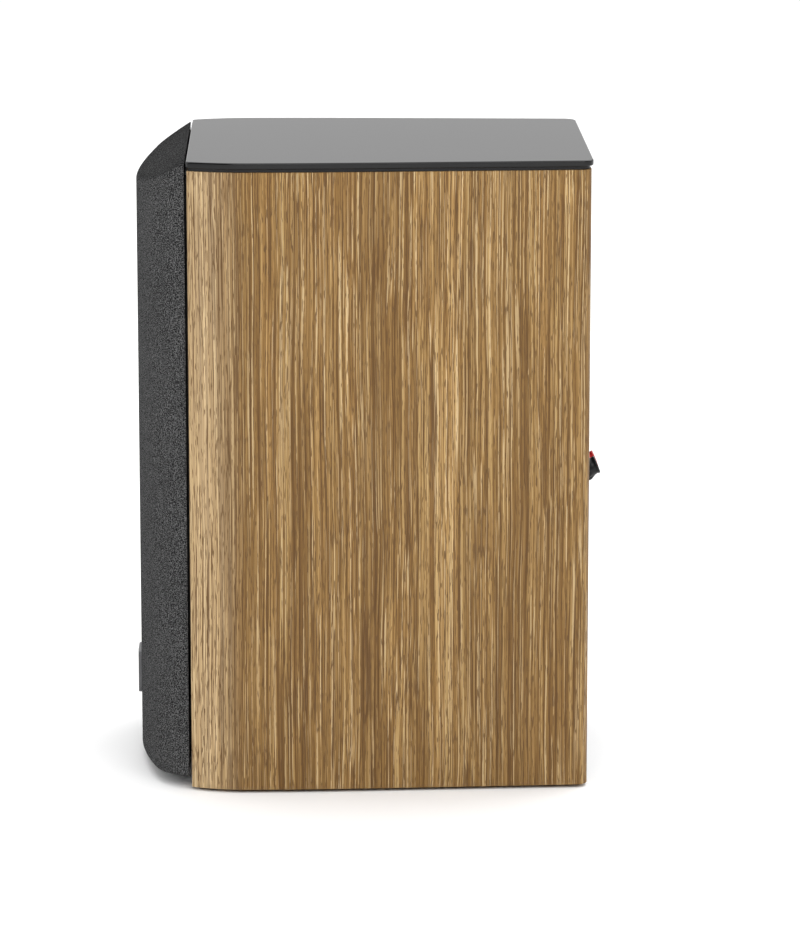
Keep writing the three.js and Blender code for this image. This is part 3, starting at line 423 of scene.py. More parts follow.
def printed_board():
    """Green solder mask with the faint grid of the glass cloth below it."""
    paint = Paint("circuit_board", Coat_Weight=0.3)
    grid = paint.math("ADD", *paint.waves(paint.place, "XZ", pitch=0.0012))
    cloud = paint.noise(50, 3.0, 0.5)
    paint.colour(paint.ramp(cloud, [(0.3, (0.020, 0.085, 0.035)), (0.7, (0.035, 0.130, 0.055))]))
    paint.roughness(cloud, 0.28, 0.42)
    paint.bump(grid, 0.00003)
    return paint.material


VENEER = veneer()
GLASS = black_glass()
CLOTH = acoustic_cloth()
RUBBER = rubber()
CONE = woven_cone()
RED = clear_red()
COPPER = wound_copper()
BOARD = printed_board()
MOULDED = moulded("textured_black", (0.012, 0.012, 0.0125), (0.020, 0.020, 0.021), Specular_IOR_Level=0.25)
SATIN_BLACK = moulded(
    "satin_black", (0.010, 0.010, 0.011), (0.017, 0.017, 0.018), (0.26, 0.40), 3200, 0.000012
)
FOILED = moulded(
    "foiled_fibreboard", (0.013, 0.013, 0.0135), (0.022, 0.022, 0.0225), (0.50, 0.68), 900, 0.00005
)
CASTING = moulded(
    "powder_coat", (0.016, 0.016, 0.017), (0.028, 0.028, 0.029), (0.40, 0.55), 1500, 0.00006
)
FERRITE = moulded(
    "ground_ferrite", (0.035, 0.035, 0.037), (0.065, 0.064, 0.066), (0.55, 0.75), 700, 0.00006
)
SCREW_BLACK = moulded(
    "black_oxide", (0.020, 0.020, 0.022), (0.040, 0.040, 0.043), (0.25, 0.42), 1800, 0.00001, Metallic=0.8
)
FILM = moulded("capacitor_film", (0.45, 0.27, 0.060), (0.58, 0.37, 0.095), (0.18, 0.34), 600, 0.00002)
KNOB_BLACK = moulded(
    "knob_black", (0.004, 0.004, 0.0045), (0.009, 0.009, 0.010), (0.24, 0.36), 2400, 0.00001,
    Specular_IOR_Level=0.2,
)
SILK = fibrous("coated_silk", (0.010, 0.010, 0.012), (0.026, 0.026, 0.030), 1600, 0.00003)
SPIDER_CLOTH = fibrous("dipped_cloth", (0.30, 0.19, 0.07), (0.52, 0.36, 0.16), 1300, 0.00005)
WADDING = fibrous("wadding", (0.55, 0.55, 0.52), (0.80, 0.80, 0.77), 500, 0.0008)
BADGE_METAL = brushed(
    "badge_metal", (0.080, 0.080, 0.083), (0.160, 0.160, 0.165), (0.30, 0.44), (3000, 3000, 60)
)
STEEL = brushed("plated_steel", (0.42, 0.42, 0.43), (0.60, 0.60, 0.61))
BRASS = brushed("gold_plate", (0.66, 0.47, 0.17), (0.86, 0.66, 0.30), (0.16, 0.28), (2600, 2600, 2600))

KEPT_NODES = [
    (FOILED, ["top_panel", "bottom_panel", "internal_brace", "front_baffle", "rear_panel"]),
    (MOULDED, ["top_spacer"]),
    (RUBBER, ["woofer_lead", "tweeter_lead", "input_lead"]),
    (CASTING, ["woofer_basket"]),
    (STEEL, ["woofer_top_plate", "woofer_yoke", "tweeter_motor"]),
    (FERRITE, ["woofer_magnet"]),
    (COPPER, ["woofer_voice_coil", "bass_inductor", "treble_inductor"]),
    (FILM, ["capacitor_large", "capacitor_small"]),
    (BOARD, ["crossover_board"]),
    (WADDING, ["damping_pad"]),
    (BRASS, ["terminal_stud_red", "terminal_stud_black"]),
]


def paint_kept_nodes():
    """CAD nodes whose own shape stays get their finish here."""
    for material, names in KEPT_NODES:
        for name in names:
            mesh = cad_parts[name].data
            mesh.materials.clear()
            mesh.materials.append(material)


# ---- Mesh helpers ----


def placed(name, data):
    """A new object, linked into the scene."""
    made = bpy.data.objects.new(name, data)
    bpy.context.scene.collection.objects.link(made)
    return made


def add_piece(name, mesh, material, body, replaces=(), sharp=35.0, flat_faces=False):
    """Puts a finished mesh in the scene as a piece of the object.

    flat_faces keeps large flat faces truly flat in their shading, beside small rounded edges.
    """
    mesh.materials.clear()
    mesh.materials.append(material)
    mesh.shade_smooth()
    mesh.set_sharp_from_angle(angle=math.radians(sharp))
    piece = placed(name, mesh)
    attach(piece, body)
    if replaces:
        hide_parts(*replaces)
    if flat_faces:
        weighted = piece.modifiers.new("flat_faces", "WEIGHTED_NORMAL")
        weighted.weight = 100
        weighted.keep_sharp = True
    return piece


def mesh_from(name, points, faces):
    """A mesh from points in drawing millimetres, with its faces made to point out."""
    mesh = bpy.data.meshes.new(name)
    mesh.from_pydata([to_frame(*point) for point in points], [], faces)
    edit = bmesh.new()
    edit.from_mesh(mesh)
    bmesh.ops.recalc_face_normals(edit, faces=edit.faces)
    edit.to_mesh(mesh)
    edit.free()
    return mesh


def round_edges(piece, width, segments=3, angle=30.0):
    """Rounds every edge sharper than angle, by width millimetres."""
    bevel = piece.modifiers.new("rounded_edges", "BEVEL")
    bevel.width = width * MM
    bevel.segments = segments
    bevel.limit_method = "ANGLE"
    bevel.angle_limit = math.radians(angle)
    bevel.harden_normals = True
    return piece


def arc(x, y, radius, start, end, steps):
    """Points on an arc, from one angle to another, in degrees."""
    points = []
    for i in range(steps + 1):
        angle = math.radians(start + (end - start) * i / steps)
        points.append((x + radius * math.cos(angle), y + radius * math.sin(angle)))
    return points


def loops_mesh(name, loops):
    """A skin over rings of equally many points, with a flat face at each end."""
    count = len(loops[0])
    points = [point for loop in loops for point in loop]
    faces = []
    for row in range(len(loops) - 1):
        for i in range(count):
            j = (i + 1) % count
            low, high = row * count, (row + 1) * count
            faces.append((low + i, low + j, high + j, high + i))
    faces.append(tuple(range(count)))
    faces.append(tuple((len(loops) - 1) * count + i for i in range(count)))
    return mesh_from(name, points, faces)


def prism(name, outline, bottom, top):
    """An outline in plan (x, y) standing from z = bottom to z = top."""
    return loops_mesh(name, [[(x, y, z) for x, y in outline] for z in (bottom, top)])


def lathe(name, profile, x=0.0, z=0.0, steps=128):
    """A closed (radius, y) profile turned about an axis along Y, through (x, z)."""
    points = []
    for i in range(steps):
        turn = 2 * math.pi * i / steps
        across, up = math.cos(turn), math.sin(turn)
        points += [(x + radius * across, y, z + radius * up) for radius, y in profile]
    count = len(profile)
    faces = []
    for i in range(steps):
        here, there = i * count, ((i + 1) % steps) * count
        for k in range(count):
            m = (k + 1) % count
            faces.append((here + k, here + m, there + m, there + k))
    return welded(mesh_from(name, points, faces))


def welded(mesh):
    """Joins points that coincide, such as those of a profile on its own axis."""
    edit = bmesh.new()
    edit.from_mesh(mesh)
    bmesh.ops.remove_doubles(edit, verts=edit.verts, dist=1e-6)
    bmesh.ops.dissolve_degenerate(edit, edges=edit.edges, dist=1e-7)
    bmesh.ops.recalc_face_normals(edit, faces=edit.faces)
    edit.to_mesh(mesh)
    edit.free()
    return mesh


def plate(name, outline, holes, front, back, edge):
    """A flat plate in elevation (x, z) with holes and small rounded edges, from y = front to y = back."""
    curve = bpy.data.curves.new(name, "CURVE")
    curve.dimensions = "2D"
    curve.fill_mode = "BOTH"
    curve.extrude = ((back - front) / 2 - edge) * MM
    curve.bevel_depth = edge * MM
    curve.bevel_resolution = 2
    curve.offset = -edge * MM
    for loop in (outline, *holes):
        spline = curve.splines.new("POLY")
        spline.points.add(len(loop) - 1)
        spline.use_cyclic_u = True
        for point, (x, z) in zip(spline.points, loop):
            point.co = (x * MM, z * MM, 0.0, 1.0)
    flat = bpy.data.objects.new(name, curve)
    mesh = bpy.data.meshes.new_from_object(flat)
    bpy.data.objects.remove(flat)
    mesh.transform(Matrix.Rotation(math.pi / 2, 4, "X"))
    mesh.transform(Matrix.Translation(to_frame(0, (front + back) / 2, 0)))
    return welded(mesh)


def combine(name, base, others, operation):
    """The boolean of closed meshes, worked out exactly and applied."""
    holder = placed(name, base)
    tools = []
    for other in others:
        tool = placed("tool", other)
        tools.append(tool)
        step = holder.modifiers.new("step", "BOOLEAN")
        step.operation = operation
        step.solver = "EXACT"
        step.object = tool
    graph = bpy.context.evaluated_depsgraph_get()
    result = bpy.data.meshes.new_from_object(holder.evaluated_get(graph))
    for made in (holder, *tools):
        bpy.data.objects.remove(made)
    result.name = name
    return result


def rounded_rectangle(left, bottom, right, top, radius, steps=10):
    """A rectangle with four round corners, as a closed outline."""
    return (
        arc(left + radius, bottom + radius, radius, 180, 270, steps)
        + arc(right - radius, bottom + radius, radius, 270, 360, steps)
        + arc(right - radius, top - radius, radius, 0, 90, steps)
        + arc(left + radius, top - radius, radius, 90, 180, steps)
    )


# ---- Cabinet ----


def half_width_at(depth):
    """Half the cabinet's width at a distance back from its front face."""
    if depth < FRONT_CURVE_DEPTH:
        short = (FRONT_CURVE_DEPTH - depth) / FRONT_CURVE_DEPTH
        return CABINET_HALF_WIDTH - FRONT_INSET * short * short
    bent = min(depth - FRONT_CURVE_DEPTH, REAR_BEND_DEPTH)
    straight = depth - FRONT_CURVE_DEPTH - bent
    return CABINET_HALF_WIDTH - bent * (bent / 2 + straight) / REAR_BEND_RADIUS


def side_path(outward, start, end, steps=48):
    """Points along the right side, moved outward, from one depth to another."""
    depths = [start + (end - start) * i / steps for i in range(steps + 1)]
    return [(half_width_at(depth) + outward, depth) for depth in depths]


def mirrored(points):
    """The same outline on the other side, still running the same way round."""
    return [(-x, y) for x, y in reversed(points)]


def side_panel_outline():
    """The right side panel in plan: its curved outside, then back along its inner face."""
    edge, corner = FRONT_EDGE_RADIUS, REAR_CORNER_RADIUS
    corner_y = CABINET_DEPTH - corner
    front_arc = arc(half_width_at(edge) - edge, edge, edge, -90, 0, 6)
    rear_arc = arc(half_width_at(corner_y) - corner, corner_y, corner, 0, 90, 14)
    outside = side_path(0, edge, corner_y)[1:-1]
    inside = side_path(-WALL, CABINET_DEPTH, 0)
    return front_arc + outside + rear_arc + inside


def add_side_panels():
    right = side_panel_outline()
    for side, outline in (("right", right), ("left", mirrored(right))):
        mesh = prism(f"veneered_side_{side}", outline, 0, CABINET_HEIGHT)
        piece = add_piece(mesh.name, mesh, VENEER, "cabinet", [f"side_panel_{side}"])
        round_edges(piece, 0.35, 2)


def top_plate_outline(overhang, front_overhang, front_corner, rear_corner):
    """A plate in plan that follows the cabinet's sides, a distance outside them."""
    front = -front_overhang
    back = CABINET_DEPTH + overhang
    front_x = half_width_at(front_corner) + overhang - front_corner
    rear_x = half_width_at(back - rear_corner) + overhang - rear_corner
    right = arc(front_x, front + front_corner, front_corner, -90, 0, 8)
    right += side_path(overhang, front + front_corner, back - rear_corner)[1:-1]
    right += arc(rear_x, back - rear_corner, rear_corner, 0, 90, 14)
    return right + mirrored(right)


def add_glass_top():
    """The glass is drawn as a stack of outlines whose edge is rounded over, top and bottom."""
    turns = [math.radians(angle) for angle in range(0, 91, 15)]
    lower = GLASS_BOTTOM + GLASS_ROUND_OVER
    upper = GLASS_BOTTOM + GLASS_THICKNESS - GLASS_ROUND_OVER
    edge = [(math.sin(turn), lower - GLASS_ROUND_OVER * math.cos(turn)) for turn in turns]
    edge += [(math.cos(turn), upper + GLASS_ROUND_OVER * math.sin(turn)) for turn in turns]
    loops = []
    for lean, z in edge:
        inset = GLASS_ROUND_OVER * (1 - lean)
        outline = top_plate_outline(GLASS_OVERHANG - inset, GLASS_FRONT_OVERHANG - inset, 3, 8)
        loops.append([(x, y, z) for x, y in outline])
    mesh = welded(loops_mesh("glass_plate", loops))
    add_piece("glass_plate", mesh, GLASS, "cabinet", ["glass_top"], sharp=60, flat_faces=True)


def add_feet():
    for index in range(1, 5):
        low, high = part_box(f"foot_{index}")
        radius = (high.x - low.x) / 2 / MM
        height = (high.z - low.z) / MM
        profile = [(0, 0), (radius - 0.9, 0), (radius - 0.25, 0.25), (radius, 0.9)]
        profile += [(radius, height), (0, height)]
        mesh = lathe(f"rubber_foot_{index}", profile, steps=64)
        mesh.transform(Matrix.Translation(-to_frame(0, 0, 0)))
        mesh.transform(Matrix.Rotation(math.pi / 2, 4, "X"))
        mesh.transform(Matrix.Translation(Vector(((low.x + high.x) / 2, (low.y + high.y) / 2, low.z))))
        add_piece(mesh.name, mesh, RUBBER, "cabinet", [f"foot_{index}"])


def add_fascia():
    outline = arc(0, WOOFER_Z, FASCIA_HALF_WIDTH, 180, 360, 72)
    outline += [(FASCIA_HALF_WIDTH, FASCIA_TOP), (-FASCIA_HALF_WIDTH, FASCIA_TOP)]
    holes = [
        arc(0, WOOFER_Z, TRIM_RADIUS + 0.2, 360, 0, 128)[:-1],
        arc(0, TWEETER_Z, FACEPLATE_RADIUS + 0.2, 360, 0, 96)[:-1],
    ]
    holes += [arc(x, z, SOCKET_RADIUS + 0.3, 360, 0, 48)[:-1] for x, z in PEG_PLACES if z > WOOFER_Z]
    mesh = plate("front_fascia", outline, holes, -FASCIA_THICKNESS, -0.05, 0.35)
    add_piece("front_fascia", mesh, MOULDED, "cabinet", ["baffle_fascia"], sharp=20)


def add_grille_sockets():
    profile = [
        (4.35, -0.9), (4.9, -FASCIA_THICKNESS), (10.2, -FASCIA_THICKNESS), (SOCKET_RADIUS, -0.8),
        (SOCKET_RADIUS, -0.1), (6.5, -0.1), (6.5, 12), (4.35, 12),
    ]
    for index, (x, z) in enumerate(PEG_PLACES, 1):
        mesh = lathe(f"peg_socket_{index}", profile, x, z, 48)
        add_piece(mesh.name, mesh, RUBBER, "cabinet", [f"grille_socket_{index}"])


# ---- Drivers ----


def cone_front_at(radius):
    inward = (CONE_EDGE_RADIUS - radius) / (CONE_EDGE_RADIUS - COIL_RADIUS)
    return 0.3 + 23 * inward - 4 * inward * inward


def add_trim_ring():
    profile = [(74, -1.4), (74, -1.9)] + arc(75.3, -1.9, 1.3, 180, 270, 6)[1:]
    profile += arc(TRIM_RADIUS - 1.5, -1.7, 1.5, 270, 360, 6)
    profile += [(TRIM_RADIUS, -0.1), (81, -0.1), (81, -1.4)]
    mesh = lathe("trim_ring", profile, 0, WOOFER_Z, 160)
    add_piece("trim_ring", mesh, SATIN_BLACK, "cabinet", ["woofer_trim_ring"])


def add_surround():
    """The rubber half-roll. Its inner lip follows the cone and its outer lip stays with the basket."""
    inner_edge, outer_edge, middle, roll = 57, 80, 67, 6
    outside = arc(middle, -1.1, roll, 180, 360, 24)
    inside = arc(middle, -0.2, roll - 0.9, 360, 180, 24)
    profile = [(inner_edge, -0.5), (inner_edge + 0.5, -1.1), *outside, (outer_edge, -1.1), (outer_edge, -0.2)]
    profile += [*inside, (inner_edge + 1, -0.2)]
    mesh = lathe("rubber_surround", profile, 0, WOOFER_Z, 160)
    centre = to_frame(0, 0, WOOFER_Z)
    piece = add_blended_ring(mesh, RUBBER, centre, middle)
    follow_the_cone(mesh, centre, (middle + roll) * MM, (middle - roll) * MM)
    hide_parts("woofer_surround")


def add_blended_ring(mesh, material, centre, reach):
    """Puts a ring that joins the basket to the cone in the scene."""
    mesh.materials.append(material)
    mesh.shade_smooth()
    piece = placed(mesh.name, mesh)
    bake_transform(piece, "cabinet", "woofer_moving", start=centre, end=centre + Vector((0, 0, reach * MM)))
    return piece


def follow_the_cone(mesh, centre, still_radius, moving_radius):
    """Sets how far each point follows the cone by its distance from the woofer's axis."""
    weights = []
    for vertex in mesh.vertices:
        offset = vertex.co - centre
        radius = math.hypot(offset.x, offset.z)
        share = (still_radius - radius) / (still_radius - moving_radius)
        share = min(max(share, 0.0), 1.0)
        weights.append(share * share * (3 - 2 * share))
    mesh.attributes["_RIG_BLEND"].data.foreach_set("value", weights)


def add_spider():
    """The corrugated cloth disc behind the cone, blended as the surround is."""
    inner, outer, land = COIL_RADIUS + 0.85, 39, 46
    front = []
    steps = 48
    for i in range(steps + 1):
        radius = inner + (outer - inner) * i / steps
        front.append((radius, 44 + 1.3 * math.sin(math.pi * 4 * i / steps)))
    front.append((land, 44))
    profile = front + [(radius, y + 0.7) for radius, y in reversed(front)]
    mesh = lathe("corrugated_spider", profile, 0, WOOFER_Z, 96)
    centre = to_frame(0, 44, WOOFER_Z)
    piece = add_blended_ring(mesh, SPIDER_CLOTH, centre, outer)
    follow_the_cone(mesh, centre, outer * MM, inner * MM)
    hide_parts("woofer_spider")


def dome_curve(base, rim, height, steps=24):
    """Points from the tip to the rim of a dome that stands a height in front of its rim."""
    bowl = (base * base + height * height) / (2 * height)
    radii = [base * i / steps for i in range(steps + 1)]
    return [(radius, rim - math.sqrt(bowl * bowl - radius * radius) + bowl - height) for radius in radii]


def add_cone():
    neck = COIL_RADIUS + 0.9
    steps = 40
    radii = [neck + (CONE_EDGE_RADIUS - neck) * i / steps for i in range(steps + 1)]
    front = [(radius, cone_front_at(radius)) for radius in radii]
    profile = front + [(radius, y + 1.2) for radius, y in reversed(front)]
    mesh = lathe("woven_cone", profile, 0, WOOFER_Z, 160)
    add_piece("woven_cone", mesh, CONE, "woofer_moving", ["woofer_cone"])

    base = 22
    rim = cone_front_at(base) - 0.35
    outside = dome_curve(base, rim, height=7)
    inside = [(radius * 0.97, y + 0.7) for radius, y in reversed(outside)]
    cap = lathe("domed_dust_cap", outside + [(base + 0.7, rim + 0.1)] + inside, 0, WOOFER_Z, 128)
    add_piece("domed_dust_cap", cap, SATIN_BLACK, "woofer_moving", ["woofer_dust_cap"])


def add_tweeter():
    throat_radius, throat_y, mouth_radius = 17, 6, 42
    drop = FACEPLATE_FRONT - throat_y
    horn = []
    for i in range(33):
        out = i / 32
        radius = throat_radius + (mouth_radius - throat_radius) * out
        horn.append((radius, throat_y + drop * math.sin(out * math.pi / 2)))
    rim = arc(FACEPLATE_RADIUS - 1.2, FACEPLATE_FRONT + 1.2, 1.2, 270, 360, 6)
    back = [(FACEPLATE_RADIUS, -0.1), (36, -0.1), (36, 9), (throat_radius, 9)]
    mesh = lathe("horn_faceplate", horn + rim + back, 0, TWEETER_Z, 160)
    recesses = []
    recess = [(0, -6), (4.1, -6), (4.1, -1.9), (0, -1.9)]
    for x, z in tweeter_screw_places():
        recesses.append(lathe("recess", recess, x, TWEETER_Z + z, 40))
    mesh = combine("horn_faceplate", mesh, recesses, "DIFFERENCE")
    replaced = ["tweeter_faceplate"]
    add_piece("horn_faceplate", mesh, SATIN_BLACK, "cabinet", replaced, sharp=28)

    roll = arc(14.9, 8.2, 1.5, 180, 360, 12)
    roll = [(13.2, 8.2), *roll, (17.6, 8.2), (17.6, 8.9), (13.2, 8.9)]
    mesh = lathe("tweeter_roll", roll, 0, TWEETER_Z, 96)
    add_piece("tweeter_roll", mesh, SILK, "cabinet")

    outside = dome_curve(DOME_RADIUS, 8, height=4.5)
    inside = [(radius * 0.96, y + 0.35) for radius, y in reversed(outside)]
    skirt = [(DOME_RADIUS, 13), (DOME_RADIUS * 0.96, 13)]
    mesh = lathe("silk_dome", outside + skirt + inside, 0, TWEETER_Z, 96)
    add_piece("silk_dome", mesh, SILK, "tweeter_moving", ["tweeter_dome"])


def tweeter_screw_places():
    places = []
    for quarter in range(4):
        angle = math.radians(45 + 90 * quarter)
        places.append((FACEPLATE_SCREW_CIRCLE * math.cos(angle), FACEPLATE_SCREW_CIRCLE * math.sin(angle)))
    return places


def screw_mesh(name, x, y, z, facing):
    """A domed screw head with a cross recess. facing is -1 for the front of the cabinet, 1 for the back."""
    head = [(0, -2.0), (1.4, -1.9), (2.5, -1.5), (3.2, -0.8), (3.4, -0.1), (1.6, -0.1), (1.6, 6), (0, 6)]
    body = lathe(name, head, 0, 0, 32)
    cross = []
    for wide, tall in ((0.45, 1.9), (1.9, 0.45)):
        outline = [(-wide, -tall), (wide, -tall), (wide, tall), (-wide, tall)]
        loops = [[(px, py, pz) for px, pz in outline] for py in (-3.0, -1.0)]
        cross.append(loops_mesh("cross", loops))
    mesh = combine(name, body, cross, "DIFFERENCE")
    mesh.transform(Matrix.Translation(-to_frame(0, 0, 0)))
    if facing > 0:
        mesh.transform(Matrix.Rotation(math.pi, 4, "Z"))
    mesh.transform(Matrix.Translation(to_frame(x, y, z)))
    return mesh


def add_screws():
    for index, (x, z) in enumerate(tweeter_screw_places(), 1):
        name = f"faceplate_screw_{index}"
        mesh = screw_mesh(name, x, -1.8, TWEETER_Z + z, -1)
        add_piece(name, mesh, SCREW_BLACK, "cabinet", [f"tweeter_screw_{index}"])
    for index in range(1, 5):
        low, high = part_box(f"terminal_screw_{index}")
        x = (low.x + high.x) / 2 / MM
        z = ((low.z + high.z) / 2 - UNDERSIDE_Z) / MM
        name = f"cup_screw_{index}"
        mesh = screw_mesh(name, x, FITTING_FACE, z, 1)
        add_piece(name, mesh, SCREW_BLACK, "cabinet", [f"terminal_screw_{index}"])


# ---- Back of the cabinet ----


def add_bass_port():
    rear = CABINET_DEPTH - 3 + 0.1
    profile = [(27.5, 128), (27.5, rear - 14), (37, rear - 7), (37, rear), (43, rear)]
    profile += arc(42, FITTING_FACE - 1, 1, 0, 90, 5)
    flare = PORT_FLARE_RADIUS
    profile += arc(PORT_BORE_RADIUS + flare, FITTING_FACE - flare, flare, 90, 180, 20)
    profile += [(PORT_BORE_RADIUS, 129), (PORT_BORE_RADIUS + 1, 128)]
    mesh = lathe("flared_port", profile, 0, PORT_Z, 160)
    add_piece("flared_port", mesh, SATIN_BLACK, "cabinet", ["bass_port"])


def refined(name, node, material, body, width):
    """A copy of a CAD node's mesh with its flat faces joined up and its edges rounded."""
    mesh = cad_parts[node].data.copy()
    edit = bmesh.new()
    edit.from_mesh(mesh)
    bmesh.ops.remove_doubles(edit, verts=edit.verts, dist=1e-6)
    bmesh.ops.dissolve_limit(edit, angle_limit=math.radians(1), verts=edit.verts, edges=edit.edges)
    edit.to_mesh(mesh)
    edit.free()
    piece = add_piece(name, mesh, material, body, [node])
    round_edges(piece, width, 2)


def post_frame(side, distance):
    """Where a lathed piece goes on a binding post: y along the post, distance in from the knob's end."""
    end = to_frame(side * POST_SPACING / 2, *KNOB_END)
    back = Matrix.Translation(Vector((0, -distance * MM, 0)))
    return Matrix.Translation(end) @ Matrix.Rotation(POST_TILT, 4, "X") @ back


def post_lathe(name, profile, side, distance, steps):
    """A lathed piece set on a binding post's own axis."""
    mesh = lathe(name, profile, 0, 0, steps)
    mesh.transform(Matrix.Translation(-to_frame(0, 0, 0)))
    mesh.transform(post_frame(side, distance))
    return mesh


def knob_mesh(name, side):
    """A waisted knob whose grip is fluted: its radius dips between twelve ribs."""
    stations = [
        (7.6, 0.0), (8.0, 0.5), (8.0, 2.0), (8.0, 4.0), (8.0, 6.0), (8.0, 8.0), (8.0, 10.0), (7.85, 11.0),
        (7.35, 12.1), (6.7, 13.0), (6.0, 14.2), (5.6, 15.2), (5.55, 16.1), (5.75, 16.8), (5.8, 17.3),
        (5.6, 17.8), (5.2, 18.0), (3.1, 18.0), (2.9, 17.4), (2.5, 17.0),
    ]
    steps, ribs, rib_height = 144, 12, 0.6
    points, faces = [], []
    for i in range(steps):
        turn = 2 * math.pi * i / steps
        dip = 0.5 - 0.5 * math.cos(ribs * turn)
        for radius, along in stations + [(2.5, 0.0)]:
            grip = min(1.0, (along - 1.0) / 1.5, (12.6 - along) / 1.5) if radius > 4 else 0.0
            drawn = radius - rib_height * max(0.0, grip) * dip ** 2
            points.append((drawn * math.cos(turn), along, drawn * math.sin(turn)))
    count = len(stations) + 1
    for i in range(steps):
        here, there = i * count, ((i + 1) % steps) * count
        for k in range(count):
            m = (k + 1) % count
            faces.append((here + k, here + m, there + m, there + k))
    mesh = mesh_from(name, points, faces)
    mesh.transform(Matrix.Translation(-to_frame(0, 0, 0)))
    mesh.transform(post_frame(side, KNOB_LENGTH))
    return mesh


def add_binding_posts():
    posts = (("red", -1, RED, "red_plastic"), ("black", 1, KNOB_BLACK, "black_plastic"))
    for colour, side, material, slot in posts:
        mesh = knob_mesh(f"fluted_knob_{colour}", side)
        add_piece(mesh.name, mesh, material, f"{colour}_knob", [f"knob_{colour}"], sharp=50)
        washer = [(2.5, -1.8), (6.0, -1.8), (6.4, -1.4), (6.4, -0.7), (6.0, -0.3), (2.5, -0.3)]
        mesh = post_lathe(f"clamp_washer_{colour}", washer, side, KNOB_LENGTH, 64)
        add_piece(mesh.name, mesh, BRASS, f"{colour}_washer", [f"washer_{colour}"])
        socket = [(1.9, -1.2), (2.4, -1.2), (2.4, -12), (1.9, -12)]
        mesh = post_lathe(f"plug_socket_{colour}", socket, side, 0, 48)
        add_piece(mesh.name, mesh, BRASS, f"{colour}_knob")


# ---- Grille ----

BOW_END = math.asin(GRILLE_BOW_HALF_WIDTH / GRILLE_BOW_RADIUS)
BOW_CENTRE_Y = GRILLE_FRONT + GRILLE_BOW_RADIUS


def grille_corner():
    """Centre and radius of the arc from the end of the bow to the back edge."""
    start_y = BOW_CENTRE_Y - GRILLE_BOW_RADIUS * math.cos(BOW_END)
    outward = GRILLE_HALF_WIDTH - GRILLE_BOW_HALF_WIDTH
    back = GRILLE_BACK - start_y
    reach = 2 * (back * math.cos(BOW_END) - outward * math.sin(BOW_END))
    radius = (outward * outward + back * back) / reach
    x = GRILLE_BOW_HALF_WIDTH - radius * math.sin(BOW_END)
    return x, start_y + radius * math.cos(BOW_END), radius


def grille_outline(inset):
    """The grille's plan from its left back edge round the front to its right back edge."""
    x, y, full_radius = grille_corner()
    radius = full_radius - inset
    end = math.degrees(math.asin((GRILLE_BACK - y) / radius))
    joint = 90 - math.degrees(BOW_END)
    left = arc(-x, y, radius, 180 - end, 180 + joint, 28)
    front = arc(0, BOW_CENTRE_Y, GRILLE_BOW_RADIUS - inset, 180 + joint, 360 - joint, 72)
    right = arc(x, y, radius, -joint, end, 28)
    return left + front[1:-1] + right


def grille_top_at(y, inset):
    """The height of the grille's sloping top, a distance inside its surface."""
    drop = inset * math.hypot(1, GRILLE_TOP_SLOPE)
    return GRILLE_TOP_AT_BACK - GRILLE_TOP_SLOPE * (GRILLE_BACK - y) - drop


def rolled_rows(inset, edge_radius, rows):
    """The grille's skin as rows from the middle of its underside to its sloping top, with rolled edges."""
    def at(extra, drop_top=None, rise=0.0):
        outline = grille_outline(inset + extra)
        if drop_top is None:
            return [(x, y, GRILLE_BOTTOM + inset + rise) for x, y in outline]
        return [(x, y, grille_top_at(y, inset + drop_top)) for x, y in outline]

    turns = [math.radians(angle) for angle in range(0, 91, 15)]
    bottom = [at(edge_radius * (1 - math.sin(t)), rise=edge_radius * (1 - math.cos(t))) for t in turns]
    top = [at(edge_radius * (1 - math.cos(t)), drop_top=edge_radius * (1 - math.sin(t))) for t in turns]
    wall = []
    for i in range(1, rows):
        share = i / rows
        wall.append([
            (low[0], low[1], low[2] + (high[2] - low[2]) * share) for low, high in zip(bottom[-1], top[0])
        ])
    return bottom + wall + top


def flat_rows(row, inset, steps, top):
    """Rows that carry a rim row inward across the flat bottom or the sloping top."""
    rows = []
    for i in range(1, steps + 1):
        share = 1 - i / steps
        inner = []
        for x, y, _ in row:
            flat_y = GRILLE_BACK - (GRILLE_BACK - y) * share
            z = grille_top_at(flat_y, inset) if top else GRILLE_BOTTOM + inset
            inner.append((x, flat_y, z))
        rows.append(inner)
    return rows


def cloth_mesh():
    """The stretched cloth: its front, its rolled edges, its sloping top and its underside."""
    rows = rolled_rows(0.0, CLOTH_EDGE_RADIUS, 60)
    bottom = list(reversed(flat_rows(rows[0], 0.0, 10, top=False)))
    top = flat_rows(rows[-1], 0.0, 14, top=True)
    rows = bottom + rows + top
    count = len(rows[0])
    points = [point for row in rows for point in row]
    faces = []
    for r in range(len(rows) - 1):
        for i in range(count - 1):
            a = r * count + i
            faces.append((a, a + 1, a + count + 1, a + count))
    mesh = mesh_from("grille_cloth_skin", points, faces)
    layer = mesh.uv_layers.new(name="cloth")
    across, along = cloth_measure(rows)
    for loop in mesh.loops:
        r, i = divmod(loop.vertex_index, count)
        layer.data[loop.index].uv = (across[i] * MM, along[r] * MM)
    return mesh


def cloth_measure(rows):
    """Distances along the middle wall row and up the front's middle, which the weave is laid by."""
    middle = rows[len(rows) // 2]
    across = [0.0]
    for a, b in zip(middle, middle[1:]):
        across.append(across[-1] + math.dist(a, b))
    column = len(middle) // 2
    along = [0.0]
    for a, b in zip(rows, rows[1:]):
        along.append(along[-1] + math.dist(a[column], b[column]))
    return across, along


def add_cloth():
    mesh = cloth_mesh()
    piece = add_piece("grille_cloth_skin", mesh, CLOTH, "grille", ["grille_cloth"], sharp=70)
    thick = piece.modifiers.new("thickness", "SOLIDIFY")
    thick.thickness = CLOTH_THICKNESS * MM
    thick.offset = -1.0


